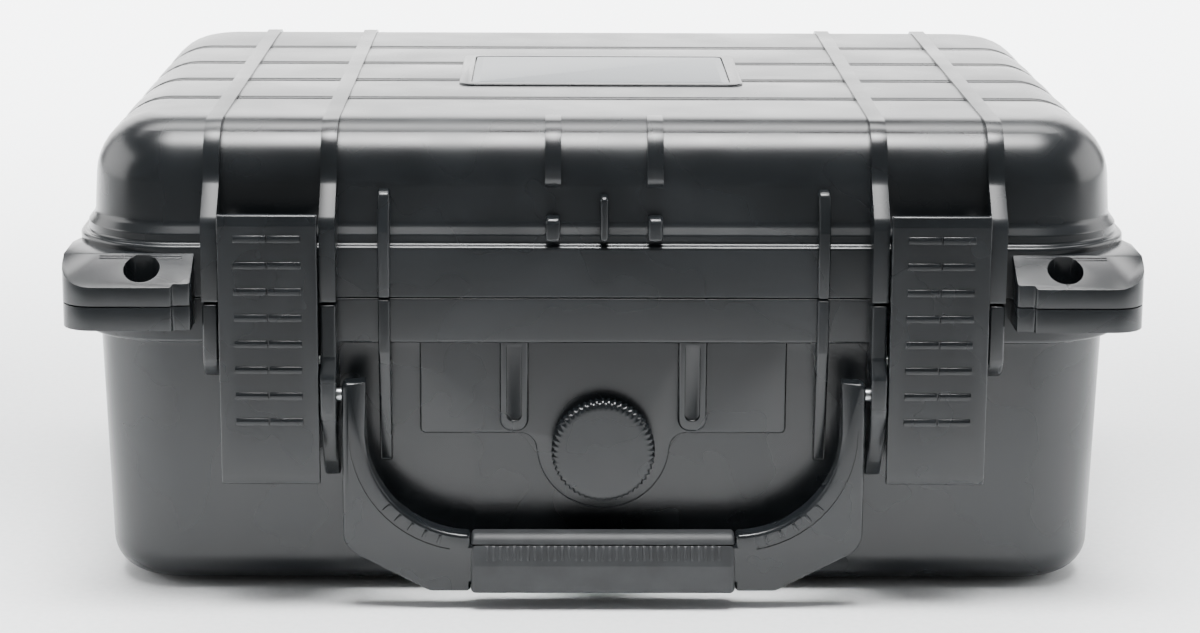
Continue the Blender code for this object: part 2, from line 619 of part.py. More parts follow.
def build_latch(side, word):
    centre = side * LATCH_X
    link_origin = (centre, out(LINK_PIVOT[0]), LINK_PIVOT[1])
    lever_origin = (centre, out(LEVER_PIVOT[0]), LEVER_PIVOT[1])
    link_axis = pivot_empty(f"latch_{word}_link_axis", link_origin)
    lever_axis = pivot_empty(f"latch_{word}_lever_axis", lever_origin)

    link_bm = bmesh.new()
    add_slab(link_bm, link_outline(), centre - 13.5 * MM, centre + 13.5 * MM)
    link = add_object(f"latch_{word}_link", link_bm, BLACK_NYLON, link_origin, link_axis)
    foot = bmesh.new()
    foot_high = PARTING_Z - 2 * MM
    foot_outline = link_foot() + [(out(8.4 * MM), foot_high), (out(2.4 * MM), foot_high),
                                  (out(0.4 * MM), PARTING_Z - 12 * MM)]
    add_slab(foot, foot_outline, centre - 18 * MM, centre + 18 * MM)
    combine(link, foot, "UNION", "wide_foot")
    holes = bmesh.new()
    for origin in (link_origin, lever_origin):
        add_cylinder(holes, origin, "X", LATCH_PIN_RADIUS + PIN_PLAY, 60 * MM, 12)
    combine(link, holes, "DIFFERENCE", "pin_holes")

    panel = bmesh.new()
    front, back = out(LEVER_FRONT), out(LEVER_BACK)
    profile = [(back, LEVER_LOW_Z), (front + 0.5 * MM, LEVER_LOW_Z), (front, LEVER_LOW_Z + 2 * MM),
               (front, LEVER_HIGH_Z - 5 * MM), (front + 2.6 * MM, LEVER_HIGH_Z), (back, LEVER_HIGH_Z)]
    add_slab(panel, profile, centre - LEVER_HALF_WIDTH, centre + LEVER_HALF_WIDTH)
    lever = add_object(f"latch_{word}_lever", panel, BLACK_NYLON, lever_origin, lever_axis)
    cheeks = bmesh.new()
    pivot_z = LEVER_PIVOT[1]
    cheek = [(back - 1 * MM, pivot_z - 12 * MM), (out(3.4 * MM), pivot_z - 4 * MM),
             (out(3.4 * MM), pivot_z + 2 * MM), (out(6 * MM), pivot_z + 5 * MM),
             (back - 1 * MM, pivot_z + 10 * MM)]
    for edge in (-1, 1):
        inner, outer = centre + edge * 14.2 * MM, centre + edge * 18 * MM
        add_slab(cheeks, cheek, min(inner, outer), max(inner, outer))
    combine(lever, cheeks, "UNION", "cheeks")
    steps = bmesh.new()
    for index in range(LEVER_GROOVES):
        top = LEVER_HIGH_Z - 7.5 * MM - index * LEVER_GROOVE_PITCH
        wedge = [(front - 1 * MM, top), (front + LEVER_GROOVE_DEPTH, top),
                 (front, top - 4 * MM), (front - 1 * MM, top - 4 * MM)]
        add_slab(steps, wedge, centre - 12.5 * MM, centre + 12.5 * MM)
    combine(lever, steps, "DIFFERENCE", "grip_steps")
    bore = bmesh.new()
    add_cylinder(bore, lever_origin, "X", LATCH_PIN_RADIUS + PIN_PLAY, 35.4 * MM, 12)
    combine(lever, bore, "DIFFERENCE", "pin_bore")

    base_pin = bmesh.new()
    add_cylinder(base_pin, link_origin, "X", LATCH_PIN_RADIUS, 46 * MM, 12)
    add_object(f"latch_{word}_base_pin", base_pin, STEEL, link_origin)
    lever_pin = bmesh.new()
    add_cylinder(lever_pin, lever_origin, "X", LATCH_PIN_RADIUS, 34.6 * MM, 12)
    add_object(f"latch_{word}_lever_pin", lever_pin, STEEL, lever_origin, link_axis)


# Handle ---------------------------------------------------------------------

def build_handle():
    origin = (0.0, HANDLE_PIVOT_Y, HANDLE_PIVOT_Z)
    axis = pivot_empty("handle_axis", origin)
    high_z = HANDLE_PIVOT_Z + 5.5 * MM
    inner_x = HANDLE_HALF_WIDTH - HANDLE_ARM
    back = HANDLE_PIVOT_Y + HANDLE_THICKNESS / 2
    bend = inner_x - GRIP_HALF_LENGTH
    grip_high = HANDLE_LOW_Z + GRIP_HEIGHT
    right = [(inner_x, high_z), (HANDLE_HALF_WIDTH, high_z),
             (HANDLE_HALF_WIDTH, HANDLE_LOW_Z + 17.5 * MM), (66 * MM, HANDLE_LOW_Z + 0.5 * MM),
             (GRIP_HALF_LENGTH, HANDLE_LOW_Z + 0.5 * MM),
             (GRIP_HALF_LENGTH, HANDLE_LOW_Z + CORE_INSET)]
    right_inner = [(GRIP_HALF_LENGTH, grip_high - CORE_INSET)]
    right_inner += arc((GRIP_HALF_LENGTH, grip_high + bend), bend, -90, 0, 8)
    outline = right + [(-x, z) for x, z in reversed(right)]
    outline += [(-x, z) for x, z in reversed(right_inner)] + right_inner
    bm = bmesh.new()
    add_prism(bm, [(x, back, z) for x, z in outline], (0.0, -HANDLE_THICKNESS, 0.0))
    frame = add_object("handle_frame", bm, BLACK_NYLON, origin, axis)
    holes = bmesh.new()
    for side in (-1, 1):
        add_cylinder(holes, (side * 95 * MM, HANDLE_PIVOT_Y, HANDLE_PIVOT_Z), "X",
                     HANDLE_PIN_RADIUS + PIN_PLAY, 20 * MM, 16)
    combine(frame, holes, "DIFFERENCE", "pin_holes")

    grip = bmesh.new()
    half = GRIP_THICKNESS / 2
    chamfer = 3 * MM
    low, high = HANDLE_LOW_Z, HANDLE_LOW_Z + GRIP_HEIGHT
    section = [(HANDLE_PIVOT_Y - half, low + chamfer), (HANDLE_PIVOT_Y - half + chamfer, low),
               (HANDLE_PIVOT_Y + half - chamfer, low), (HANDLE_PIVOT_Y + half, low + chamfer),
               (HANDLE_PIVOT_Y + half, high - chamfer), (HANDLE_PIVOT_Y + half - chamfer, high),
               (HANDLE_PIVOT_Y - half + chamfer, high), (HANDLE_PIVOT_Y - half, high - chamfer)]
    end = GRIP_HALF_LENGTH - RIM_GAP
    add_slab(grip, section, -end, end)
    grip_obj = add_object("handle_grip", grip, BLACK_RUBBER, origin, axis)
    core = bmesh.new()
    gap = RIM_GAP
    reach = GRIP_HALF_LENGTH + 10 * MM
    add_box(core, (-reach, back - HANDLE_THICKNESS - gap, HANDLE_LOW_Z + CORE_INSET - gap),
            (reach, back + gap, grip_high - CORE_INSET + gap))
    combine(grip_obj, core, "DIFFERENCE", "core")

    for side, word in ((-1, "left"), (1, "right")):
        pin = bmesh.new()
        centre = (side * 97.5 * MM, HANDLE_PIVOT_Y, HANDLE_PIVOT_Z)
        add_cylinder(pin, centre, "X", HANDLE_PIN_RADIUS, 14 * MM, 16)
        add_object(f"handle_pin_{word}", pin, STEEL, centre)


# Hinge pins and valve -------------------------------------------------------

def build_hinge_pins():
    for side, word in ((-1, "left"), (1, "right")):
        pin = bmesh.new()
        centre = (side * HINGE_X, HINGE_Y, HINGE_Z)
        length = KNUCKLES * KNUCKLE_WIDTH - 7 * MM
        add_cylinder(pin, centre, "X", HINGE_PIN_RADIUS, length, 12)
        add_object(f"hinge_pin_{word}", pin, STEEL, centre)


def build_valve():
    outward = Matrix.Translation((0, VALVE_PANEL_Y, VALVE_Z)) @ Matrix.Rotation(math.pi / 2, 4, "X")
    flange_low, flange_high = RIM_GAP, 2.3 * MM
    shank_end = -15 * MM
    bore = VALVE_STEM_RADIUS + PIN_PLAY
    body = [(bore, shank_end), (VALVE_SHANK_RADIUS, shank_end), (VALVE_SHANK_RADIUS, flange_low),
            (VALVE_FLANGE_RADIUS, flange_low), (VALVE_FLANGE_RADIUS, flange_high),
            (bore, flange_high), (bore, shank_end)]
    add_object("valve_body", turned(body, outward), BLACK_NYLON)

    nut_high = shank_end + 4.6 * MM
    bore = VALVE_SHANK_RADIUS + RIM_GAP
    nut = [(bore, shank_end + 0.6 * MM), (12 * MM, shank_end + 0.6 * MM), (12 * MM, nut_high),
           (bore, nut_high), (bore, shank_end + 0.6 * MM)]
    add_object("valve_nut", turned(nut, outward), BLACK_NYLON)

    ring_radius, ring_thickness = 6.2 * MM, 0.8 * MM
    ring = [(ring_radius + x, flange_high + RIM_GAP + ring_thickness + z)
            for x, z in arc((0, 0), ring_thickness, 0, 360, 8)]
    add_object("valve_oring", turned(ring, outward), BLACK_RUBBER)

    knob_low = flange_high + 2 * RIM_GAP + 2 * ring_thickness
    knob_high = knob_low + 6 * MM
    knob = [(0.0, shank_end + 1 * MM), (VALVE_STEM_RADIUS, shank_end + 1 * MM),
            (VALVE_STEM_RADIUS, knob_low), (VALVE_KNOB_RADIUS, knob_low),
            (VALVE_KNOB_RADIUS, knob_high - 1.5 * MM), (VALVE_KNOB_RADIUS - 2 * MM, knob_high),
            (0.0, knob_high)]
    axis = pivot_empty("valve_axis", (0, VALVE_PANEL_Y, VALVE_Z))
    add_object("valve_knob", turned(knob, outward), BLACK_NYLON, axis.location, axis)


def main():
    for obj in list(bpy.data.objects):
        bpy.data.objects.remove(obj)
    build_base()
    build_lid()
    build_seal()
    build_label()
    build_feet()
    build_foam()
    for side, word in ((-1, "left"), (1, "right")):
        build_latch(side, word)
    build_handle()
    build_hinge_pins()
    build_valve()


main()
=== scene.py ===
# Carrying case for a drone: the finished surfaces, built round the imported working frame.
# All modelling below is in millimetres; makePiece turns a finished mesh into metres.
import json
import math
import bmesh
import bpy
from mathutils import Matrix, Vector


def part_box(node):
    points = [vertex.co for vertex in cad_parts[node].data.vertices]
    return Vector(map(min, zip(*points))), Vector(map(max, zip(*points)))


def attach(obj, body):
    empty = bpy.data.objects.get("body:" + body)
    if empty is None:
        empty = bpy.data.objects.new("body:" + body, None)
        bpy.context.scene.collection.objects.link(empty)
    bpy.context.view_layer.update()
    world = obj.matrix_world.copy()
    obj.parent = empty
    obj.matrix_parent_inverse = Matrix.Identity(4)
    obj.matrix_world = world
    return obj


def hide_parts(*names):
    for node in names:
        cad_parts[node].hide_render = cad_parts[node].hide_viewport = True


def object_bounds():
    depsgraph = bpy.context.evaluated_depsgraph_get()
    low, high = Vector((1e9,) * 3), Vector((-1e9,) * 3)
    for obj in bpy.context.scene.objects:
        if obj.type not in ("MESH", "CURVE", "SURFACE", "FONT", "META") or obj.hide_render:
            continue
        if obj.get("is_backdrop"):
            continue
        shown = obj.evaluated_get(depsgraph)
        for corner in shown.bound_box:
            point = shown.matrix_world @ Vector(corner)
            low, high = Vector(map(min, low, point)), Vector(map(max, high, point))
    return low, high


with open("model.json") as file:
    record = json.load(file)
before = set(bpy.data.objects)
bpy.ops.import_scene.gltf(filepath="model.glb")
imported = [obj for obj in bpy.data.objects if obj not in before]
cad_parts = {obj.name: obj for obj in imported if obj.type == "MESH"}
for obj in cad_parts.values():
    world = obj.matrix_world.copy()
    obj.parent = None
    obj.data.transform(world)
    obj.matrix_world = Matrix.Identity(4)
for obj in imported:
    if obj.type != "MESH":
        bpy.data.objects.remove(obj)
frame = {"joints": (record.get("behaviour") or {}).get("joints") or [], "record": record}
cadLow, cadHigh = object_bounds()
mm = 0.001

jointPlace = {joint["name"]: Vector(joint["pos_m"]) / mm for joint in frame["joints"]}


def nodeBox(node):
    low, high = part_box(node)
    return low / mm, high / mm


lidBox = nodeBox("lid_shell")
baseBox = nodeBox("base_shell")
hinge = jointPlace["lid_hinge"]
topZ = lidBox[1].z
undersideZ = baseBox[0].z
partingZ = hinge.z - 0.15          # half the gap between the rims
rimZ = partingZ + 0.3

# what both shells share: straight sides between four corners,
# and walls as distances from the corner centres
case = {
    "coreX": 162.0, "coreY": 108.0,
    "flange": 40.0, "cavity": 27.5, "wall": 3.5,
    "tongueOutside": 34.0, "tongueInside": 31.0, "tongueHigh": 2.4, "grooveDeep": 4.7, "grooveClear": 0.7,
    "cornerSteps": 18,
    "bandGrooves": (-72.0, -24.0, 24.0, 72.0), "grooveHalf": 3.2, "grooveDepth": 1.9, "bandCrown": 0.5,
    "bandMiddles": (-96, -48, 0, 48, 96), "bandHalf": 20.8, "bandReach": 97,
    "guardX": (103.5, 147.5), "guardWide": 6.0, "studX": 19.3, "thinX": 83.0, "thinWide": 4.5,
}


# shared modelling steps

def arcPoints(centre, radius, startAngle, endAngle, steps):
    turn = endAngle - startAngle
    angles = [math.radians(startAngle + turn * step / steps) for step in range(steps + 1)]
    return [(centre[0] + radius * math.cos(a), centre[1] + radius * math.sin(a)) for a in angles]


def roundedPath(corners, closed=True, degreesPerStep=14):
    # each corner is (across, up) or (across, up, radius), and a radius becomes an arc
    points = []
    for index, corner in enumerate(corners):
        here = Vector(corner[:2])
        radius = corner[2] if len(corner) > 2 else 0
        atEnd = not closed and index in (0, len(corners) - 1)
        if atEnd or not radius:
            points.append(here)
            continue
        before = Vector(corners[index - 1][:2]) - here
        after = Vector(corners[(index + 1) % len(corners)][:2]) - here
        inner = before.angle(after)
        reach = radius / math.tan(inner / 2)
        start = here + before.normalized() * reach
        end = here + after.normalized() * reach
        steps = max(2, round(math.degrees(math.pi - inner) / degreesPerStep))
        for step in range(steps + 1):
            t = step / steps
            weights = ((1 - t) ** 2, 2 * math.sin(inner / 2) * t * (1 - t), t * t)
            points.append((start * weights[0] + here * weights[1] + end * weights[2]) / sum(weights))
    return points


def onlyVerts(items):
    return [item for item in items if isinstance(item, bmesh.types.BMVert)]


def onlyEdges(items):
    return [item for item in items if isinstance(item, bmesh.types.BMEdge)]


def bevelSharp(bm, width, segments=3, sharpest=30):
    bm.normal_update()
    edges = [edge for edge in bm.edges
             if len(edge.link_faces) == 2 and edge.calc_face_angle() > math.radians(sharpest)]
    bmesh.ops.bevel(bm, geom=edges, offset=width, offset_type="OFFSET", segments=segments, profile=0.5,
                    affect="EDGES", clamp_overlap=True, material=-1)


def extruded(outline, axis, low, high, edge=0.0, segments=3):
    # a flat outline carried along one axis, with all its sharp edges rounded
    bm = bmesh.new()
    place = {"x": lambda a, b: (low, a, b),
             "y": lambda a, b: (a, low, b),
             "z": lambda a, b: (a, b, low)}[axis]
    face = bm.faces.new([bm.verts.new(place(a, b)) for a, b in outline])
    travel = Vector((axis == "x", axis == "y", axis == "z")) * (high - low)
    grown = bmesh.ops.extrude_face_region(bm, geom=[face])["geom"]
    bmesh.ops.translate(bm, verts=onlyVerts(grown), vec=travel)
    bmesh.ops.recalc_face_normals(bm, faces=bm.faces)
    if edge:
        bevelSharp(bm, edge, segments)
    return bm


def joined(*parts):
    # several separate solids as one mesh
    whole = bmesh.new()
    for part in parts:
        mesh = bpy.data.meshes.new("part")
        part.to_mesh(mesh)
        part.free()
        whole.from_mesh(mesh)
        bpy.data.meshes.remove(mesh)
    return whole


def bothSides(makeOne):
    # the same solid on the right and mirrored on the left
    right = makeOne()
    mesh = bpy.data.meshes.new("half")
    right.to_mesh(mesh)
    left = bmesh.new()
    left.from_mesh(mesh)
    bpy.data.meshes.remove(mesh)
    bmesh.ops.transform(left, matrix=Matrix.Scale(-1, 4, (1, 0, 0)), verts=left.verts)
    bmesh.ops.reverse_faces(left, faces=left.faces)
    return joined(right, left)


def roundedBox(low, high, radius):
    # a rectangle from one corner to the other, with round corners
    return roundedPath([(high[0], low[1], radius), (high[0], high[1], radius), (low[0], high[1], radius),
                        (low[0], low[1], radius)])


def lathed(path, matrix, steps=64):
    # spins (radius, height) points about their axis and places the result
    bm = bmesh.new()
    verts = [bm.verts.new((radius, 0, height)) for radius, height in path]
    edges = [bm.edges.new(pair) for pair in zip(verts, verts[1:])]
    bmesh.ops.spin(bm, geom=verts + edges, cent=(0, 0, 0), axis=(0, 0, 1), angle=math.tau, steps=steps,
                   use_merge=True)
    bmesh.ops.remove_doubles(bm, verts=bm.verts, dist=0.005)
    bmesh.ops.transform(bm, matrix=matrix, verts=bm.verts)
    bmesh.ops.recalc_face_normals(bm, faces=bm.faces)
    return bm


def rodAlongX(centre, radius, length, edge=0.0, steps=40):
    half = length / 2
    corners = [(0, -half), (radius, -half, edge), (radius, half, edge), (0, half)]
    turn = Matrix.Translation(centre) @ Matrix.Rotation(math.pi / 2, 4, "Y")
    return lathed(roundedPath(corners, closed=False, degreesPerStep=30), turn, steps)


def plain(bm):
    # a bare object for a boolean
    mesh = bpy.data.meshes.new("tool")
    bm.to_mesh(mesh)
    bm.free()
    obj = bpy.data.objects.new("tool", mesh)
    bpy.context.scene.collection.objects.link(obj)
    return obj


def combined(bm, *steps):
    # each step is (operation, solid); the exact solver keeps the result closed
    body = plain(bm)
    for operation, solid in steps:
        tool = plain(solid)
        modifier = body.modifiers.new("combine", "BOOLEAN")
        modifier.operation = operation
        modifier.solver = "EXACT"
        modifier.object = tool
        graph = bpy.context.evaluated_depsgraph_get()
        made = bpy.data.meshes.new_from_object(body.evaluated_get(graph))
        body.modifiers.clear()
        body.data = made
        bpy.data.objects.remove(tool)
    result = bmesh.new()
    result.from_mesh(body.data)
    bpy.data.objects.remove(body)
    bmesh.ops.remove_doubles(result, verts=result.verts, dist=0.002)
    bmesh.ops.dissolve_degenerate(result, edges=result.edges, dist=0.002)
    return result


def makePiece(name, bm, material, body, nodes, smoothAngle=32):
    bmesh.ops.scale(bm, vec=(mm, mm, mm), verts=bm.verts)
    mesh = bpy.data.meshes.new(name)
    bm.to_mesh(mesh)
    bm.free()
    mesh.shade_smooth()
    mesh.set_sharp_from_angle(angle=math.radians(smoothAngle))
    mesh.materials.append(material)
    piece = bpy.data.objects.new(name, mesh)
    bpy.context.scene.collection.objects.link(piece)
    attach(piece, body)
    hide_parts(*nodes)
    return piece


def sliceAt(bm, axis, places):
    normal = Vector((axis == "x", axis == "y", axis == "z"))
    for place in places:
        bmesh.ops.bisect_plane(bm, geom=bm.verts[:] + bm.edges[:] + bm.faces[:], dist=0.001,
                               plane_co=normal * place, plane_no=normal)


def sweptShell(path, closed=False, coreX=case["coreX"], coreY=case["coreY"], steps=case["cornerSteps"]):
    # a wall section of (distance from the corner centre, height),
    # spun round each corner and drawn along each side
    bm = bmesh.new()
    verts = [bm.verts.new((coreX + q, coreY, z)) for q, z in path]
    edges = [bm.edges.new(pair) for pair in zip(verts, verts[1:])]
    if closed:
        edges.append(bm.edges.new((verts[-1], verts[0])))
    section = verts + edges
    corners = ((coreX, coreY, (-2 * coreX, 0, 0)), (-coreX, coreY, (0, -2 * coreY, 0)),
               (-coreX, -coreY, (2 * coreX, 0, 0)), (coreX, -coreY, (0, 2 * coreY, 0)))
    for x, y, travel in corners:
        spun = bmesh.ops.spin(bm, geom=section, cent=(x, y, 0), axis=(0, 0, 1), angle=math.pi / 2,
                              steps=steps)
        drawn = bmesh.ops.extrude_edge_only(bm, edges=onlyEdges(spun["geom_last"]))["geom"]
        moved = onlyVerts(drawn)
        bmesh.ops.translate(bm, verts=moved, vec=travel)
        fresh = set(moved)
        section = moved + [edge for edge in onlyEdges(drawn) if set(edge.verts) <= fresh]
    bmesh.ops.remove_doubles(bm, verts=bm.verts, dist=0.01)
    if not closed:
        bmesh.ops.holes_fill(bm, edges=[edge for edge in bm.edges if edge.is_boundary], sides=0)
    bmesh.ops.recalc_face_normals(bm, faces=bm.faces)
    return bm


def pressBands(bm, lowZ, highZ):
    # grooves and slightly crowned bands, pressed into the outer side of the walls and the top
    half, middles, bandHalf = case["grooveHalf"], case["bandMiddles"], case["bandHalf"]
    grooveShares = (-1, -0.72, -0.45, -0.2, 0, 0.2, 0.45, 0.72, 1)
    bandShares = (-0.9, -0.7, -0.4, 0, 0.4, 0.7, 0.9)
    across = [groove + half * share for groove in case["bandGrooves"] for share in grooveShares]
    across += [middle + bandHalf * share for middle in middles for share in bandShares
               if abs(middle + bandHalf * share) < case["bandReach"]]
    sliceAt(bm, "y", sorted(across))
    sliceAt(bm, "z", (lowZ + 2.5, lowZ + 5, highZ - 5, highZ - 2.5))
    bm.normal_update()
    shoulder, fadeHigh = 8.0, 5
    coreReach = case["coreX"] + shoulder
    centreZ = topZ - lid["shoulderRadius"]
    for vert in bm.verts:
        x, y, z = vert.co
        if not lowZ < z or z > highZ + 1 or abs(y) > case["bandReach"]:
            continue
        core = Vector((max(-coreReach, min(coreReach, x)), y, min(z, centreZ)))
        outward = vert.co - core
        if outward.length < 1 or vert.normal.dot(outward.normalized()) < 0.2:
            continue
        fromGroove = min(abs(y - groove) for groove in case["bandGrooves"]) / half
        groove = case["grooveDepth"] * (0.5 + 0.5 * math.cos(math.pi * min(1, fromGroove))) ** 0.8
        fromMiddle = min(1, min(abs(y - middle) for middle in middles) / bandHalf)
        crown = case["bandCrown"] * fromMiddle ** 2
        fade = min(1, (z - lowZ) / fadeHigh)
        if highZ < topZ:
            fade *= min(1, max(0, highZ + 0.6 - z) / fadeHigh)
        vert.co -= outward.normalized() * (groove + crown) * fade


# colour, texture and finish

def colour(hexCode):
    channels = [int(hexCode[index:index + 2], 16) / 255 for index in (1, 3, 5)]
    return [c / 12.92 if c <= 0.04045 else ((c + 0.055) / 1.055) ** 2.4 for c in channels] + [1.0]


def node(material, kind, settings=None, links=None):
    # adds a node; settings are sockets or properties, links are socket: (node, output)
    made = material.node_tree.nodes.new(kind)
    for key, value in (settings or {}).items():
        if key in made.inputs:
            made.inputs[key].default_value = value
        else:
            setattr(made, key, value)
    for key, (source, output) in (links or {}).items():
        material.node_tree.links.new(source.outputs[output], made.inputs[key])
    return made


def ramp(material, source, output, stops):
    made = node(material, "ShaderNodeValToRGB", links={"Fac": (source, output)})
    elements = made.color_ramp.elements
    while len(elements) < len(stops):
        elements.new(0.5)
    for element, (place, value) in zip(elements, stops):
        element.position = place
        element.color = colour(value)
    return made


def blended(material, first, second):
    # two colours multiplied; gives back the output socket
    mix = material.node_tree.nodes.new("ShaderNodeMix")
    mix.data_type = "RGBA"
    mix.blend_type = "MULTIPLY"
    mix.inputs["Factor"].default_value = 1.0
    colourInputs = [socket for socket in mix.inputs if socket.type == "RGBA"]
    for socket, (source, output) in zip(colourInputs, (first, second)):
        material.node_tree.links.new(source.outputs[output], socket)
    return next(socket for socket in mix.outputs if socket.type == "RGBA")


def startMaterial(name, **settings):
    material = bpy.data.materials.new(name)
    material.use_nodes = True
    shader = material.node_tree.nodes["Principled BSDF"]
    for key, value in settings.items():
        shader.inputs[key].default_value = value
    place = node(material, "ShaderNodeTexCoord")
    return material, shader, place


def link(material, source, output, target, socket):
    material.node_tree.links.new(source.outputs[output], target.inputs[socket])


plastic = {
    "dark": "#15181a", "light": "#1e2124", "roughness": 0.25,
    "grain": 0.9,       # mm; the real spark-eroded texture is 0.2 mm, too fine to show
    "scuffs": 34.0,     # mm between rubbed patches
}


def mouldedPlastic(name, settings):
    # injection moulded in a spark-eroded tool: satin black, with a fine even grain
    material, shader, place = startMaterial(name, IOR=1.49, Metallic=0.0)
    grain = node(material, "ShaderNodeTexNoise", {"Scale": 1 / (settings["grain"] * mm), "Detail": 0.0},
                 {"Vector": (place, "Object")})
    cloud = node(material, "ShaderNodeTexNoise", {"Scale": 1 / (settings["scuffs"] * mm), "Detail": 2.0,
                                                   "Roughness": 0.4}, {"Vector": (place, "Object")})
    tone = ramp(material, cloud, "Fac", ((0.32, settings["dark"]), (0.72, settings["light"])))
    link(material, tone, "Color", shader, "Base Color")
    finish = node(material, "ShaderNodeMapRange",
                  {"From Min": 0.3, "From Max": 0.7, "To Min": settings["roughness"] - 0.03,
                   "To Max": settings["roughness"] + 0.06}, {"Value": (cloud, "Fac")})
    link(material, finish, "Result", shader, "Roughness")
    bump = node(material, "ShaderNodeBump", {"Strength": 0.12, "Distance": 0.02 * mm},
                {"Height": (grain, "Fac")})
    link(material, bump, "Normal", shader, "Normal")
    return material


def rubber(name, dark, light, roughness):
    # thermoplastic rubber, moulded: matt, soft-edged reflections and a little dust
    material, shader, place = startMaterial(name, IOR=1.52, Metallic=0.0)
    dust = node(material, "ShaderNodeTexNoise", {"Scale": 1 / (9 * mm), "Detail": 8.0},
                {"Vector": (place, "Object")})
    pores = node(material, "ShaderNodeTexNoise", {"Scale": 1 / (0.5 * mm), "Detail": 2.0},
                 {"Vector": (place, "Object")})
    tone = ramp(material, dust, "Fac", ((0.35, dark), (0.75, light)))
    link(material, tone, "Color", shader, "Base Color")
    shader.inputs["Roughness"].default_value = roughness
    bump = node(material, "ShaderNodeBump", {"Strength": 0.2, "Distance": 0.06 * mm},
                {"Height": (pores, "Fac")})
    link(material, bump, "Normal", shader, "Normal")
    return material


def polyurethaneFoam():
    # open-cell polyurethane foam, cut: no gloss, with pores about 1.1 mm apart whose pits are painted dark
    # as shade
    material, shader, place = startMaterial("cut polyurethane foam", IOR=1.4, Roughness=0.97, Metallic=0.0)
    cells = node(material, "ShaderNodeTexVoronoi", {"Scale": 1 / (1.1 * mm)}, {"Vector": (place, "Object")})
    cloud = node(material, "ShaderNodeTexNoise", {"Scale": 1 / (22 * mm), "Detail": 5.0},
                 {"Vector": (place, "Object")})
    # painted shade: each pore's pit, which the bump below presses in, is coloured near black
    pores = ramp(material, cells, "Distance", ((0.05, "#26282a"), (0.45, "#3d4043")))
    shade = ramp(material, cloud, "Fac", ((0.3, "#b8babc"), (0.75, "#ffffff")))
    tone = blended(material, (pores, "Color"), (shade, "Color"))
    material.node_tree.links.new(tone, shader.inputs["Base Color"])
    bump = node(material, "ShaderNodeBump", {"Strength": 0.6, "Distance": 0.4 * mm},
                {"Height": (cells, "Distance")})
    link(material, bump, "Normal", shader, "Normal")
    shader.inputs["Sheen Weight"].default_value = 0.15
    shader.inputs["Sheen Roughness"].default_value = 0.5
    return material


def satinPlate():
    # polycarbonate label blank, screen-matted: plain grey with a fine pearly fleck
    material, shader, place = startMaterial("matted polycarbonate", IOR=1.58, Roughness=0.36, Metallic=0.0)
    fleck = node(material, "ShaderNodeTexNoise", {"Scale": 1 / (0.7 * mm), "Detail": 3.0},
                 {"Vector": (place, "Object")})
    tone = ramp(material, fleck, "Fac", ((0.35, "#666b70"), (0.65, "#747a7f")))
    link(material, tone, "Color", shader, "Base Color")
    bump = node(material, "ShaderNodeBump", {"Strength": 0.12, "Distance": 0.04 * mm},
                {"Height": (fleck, "Fac")})
    link(material, bump, "Normal", shader, "Normal")
    return material


def drawnSteel():
    # stainless steel wire, drawn and cut: grey with fine lines along its length
    material, shader, place = startMaterial("drawn stainless steel", Metallic=1.0)
    stretch = node(material, "ShaderNodeMapping", {"Scale": (0.03, 1.0, 1.0)},
                   {"Vector": (place, "Object")})
    lines = node(material, "ShaderNodeTexNoise", {"Scale": 1 / (0.25 * mm), "Detail": 3.0},
                 {"Vector": (stretch, "Vector")})
    tone = ramp(material, lines, "Fac", ((0.3, "#a5a7a9"), (0.7, "#c9cbcc")))
    link(material, tone, "Color", shader, "Base Color")
    finish = node(material, "ShaderNodeMapRange", {"To Min": 0.22, "To Max": 0.42},
                  {"Value": (lines, "Fac")})
    link(material, finish, "Result", shader, "Roughness")
    return material


shellPlastic = mouldedPlastic("moulded polypropylene", plastic)
nylon = mouldedPlastic("glass-filled nylon", {"dark": "#131618", "light": "#1a1d20", "roughness": 0.24,
                                              "grain": 0.8, "scuffs": 21.0})
gripRubber = rubber("thermoplastic rubber", "#222426", "#2e3032", 0.55)
sealRubber = rubber("nitrile rubber", "#1c1d1e", "#272829", 0.62)
foam = polyurethaneFoam()
labelPlastic = satinPlate()
pinSteel = drawnSteel()
print("materials ready")


# the lid's shell

lid = {
    "topWall": 32.0, "lowWall": 34.5, "ledge": 37.0,
    "ledgeZ": partingZ + 24, "flangeZ": partingZ + 20,
    "shoulderRadius": 24.0, "ceilingRadius": 20.0,
    "bandDrop": 0.7,            # bands lie this far under the ridges and the label pad
    "edge": 1.6,                # how rounded the ribs' edges are
    "pad": (58.0, 42.0), "recess": (53.0, 38.0), "recessDeep": 1.2,
    "tabSlope": ((-148.0, partingZ + 17), (-165.0, partingZ + 7.5)), "padlock": (173.0, -155.5, 6.8),
}


def tabPlan():
    # the corner tab from above; its inner side stays inside the flange
    inside = arcPoints((case["coreX"], -case["coreY"]), 36.5, -12, -88, 8)
    front = cadLow.y / mm
    corners = [(154.3, -144.0), (154.3, front + 2, 1.2), (161.0, front + 2, 1.0), (161.0, front, 1.2),
               (203.0, front, 12.0), (203.0, -126.0, 4.0), (200.2, -116.0)]
    return roundedPath(corners) + [Vector(point) for point in inside]


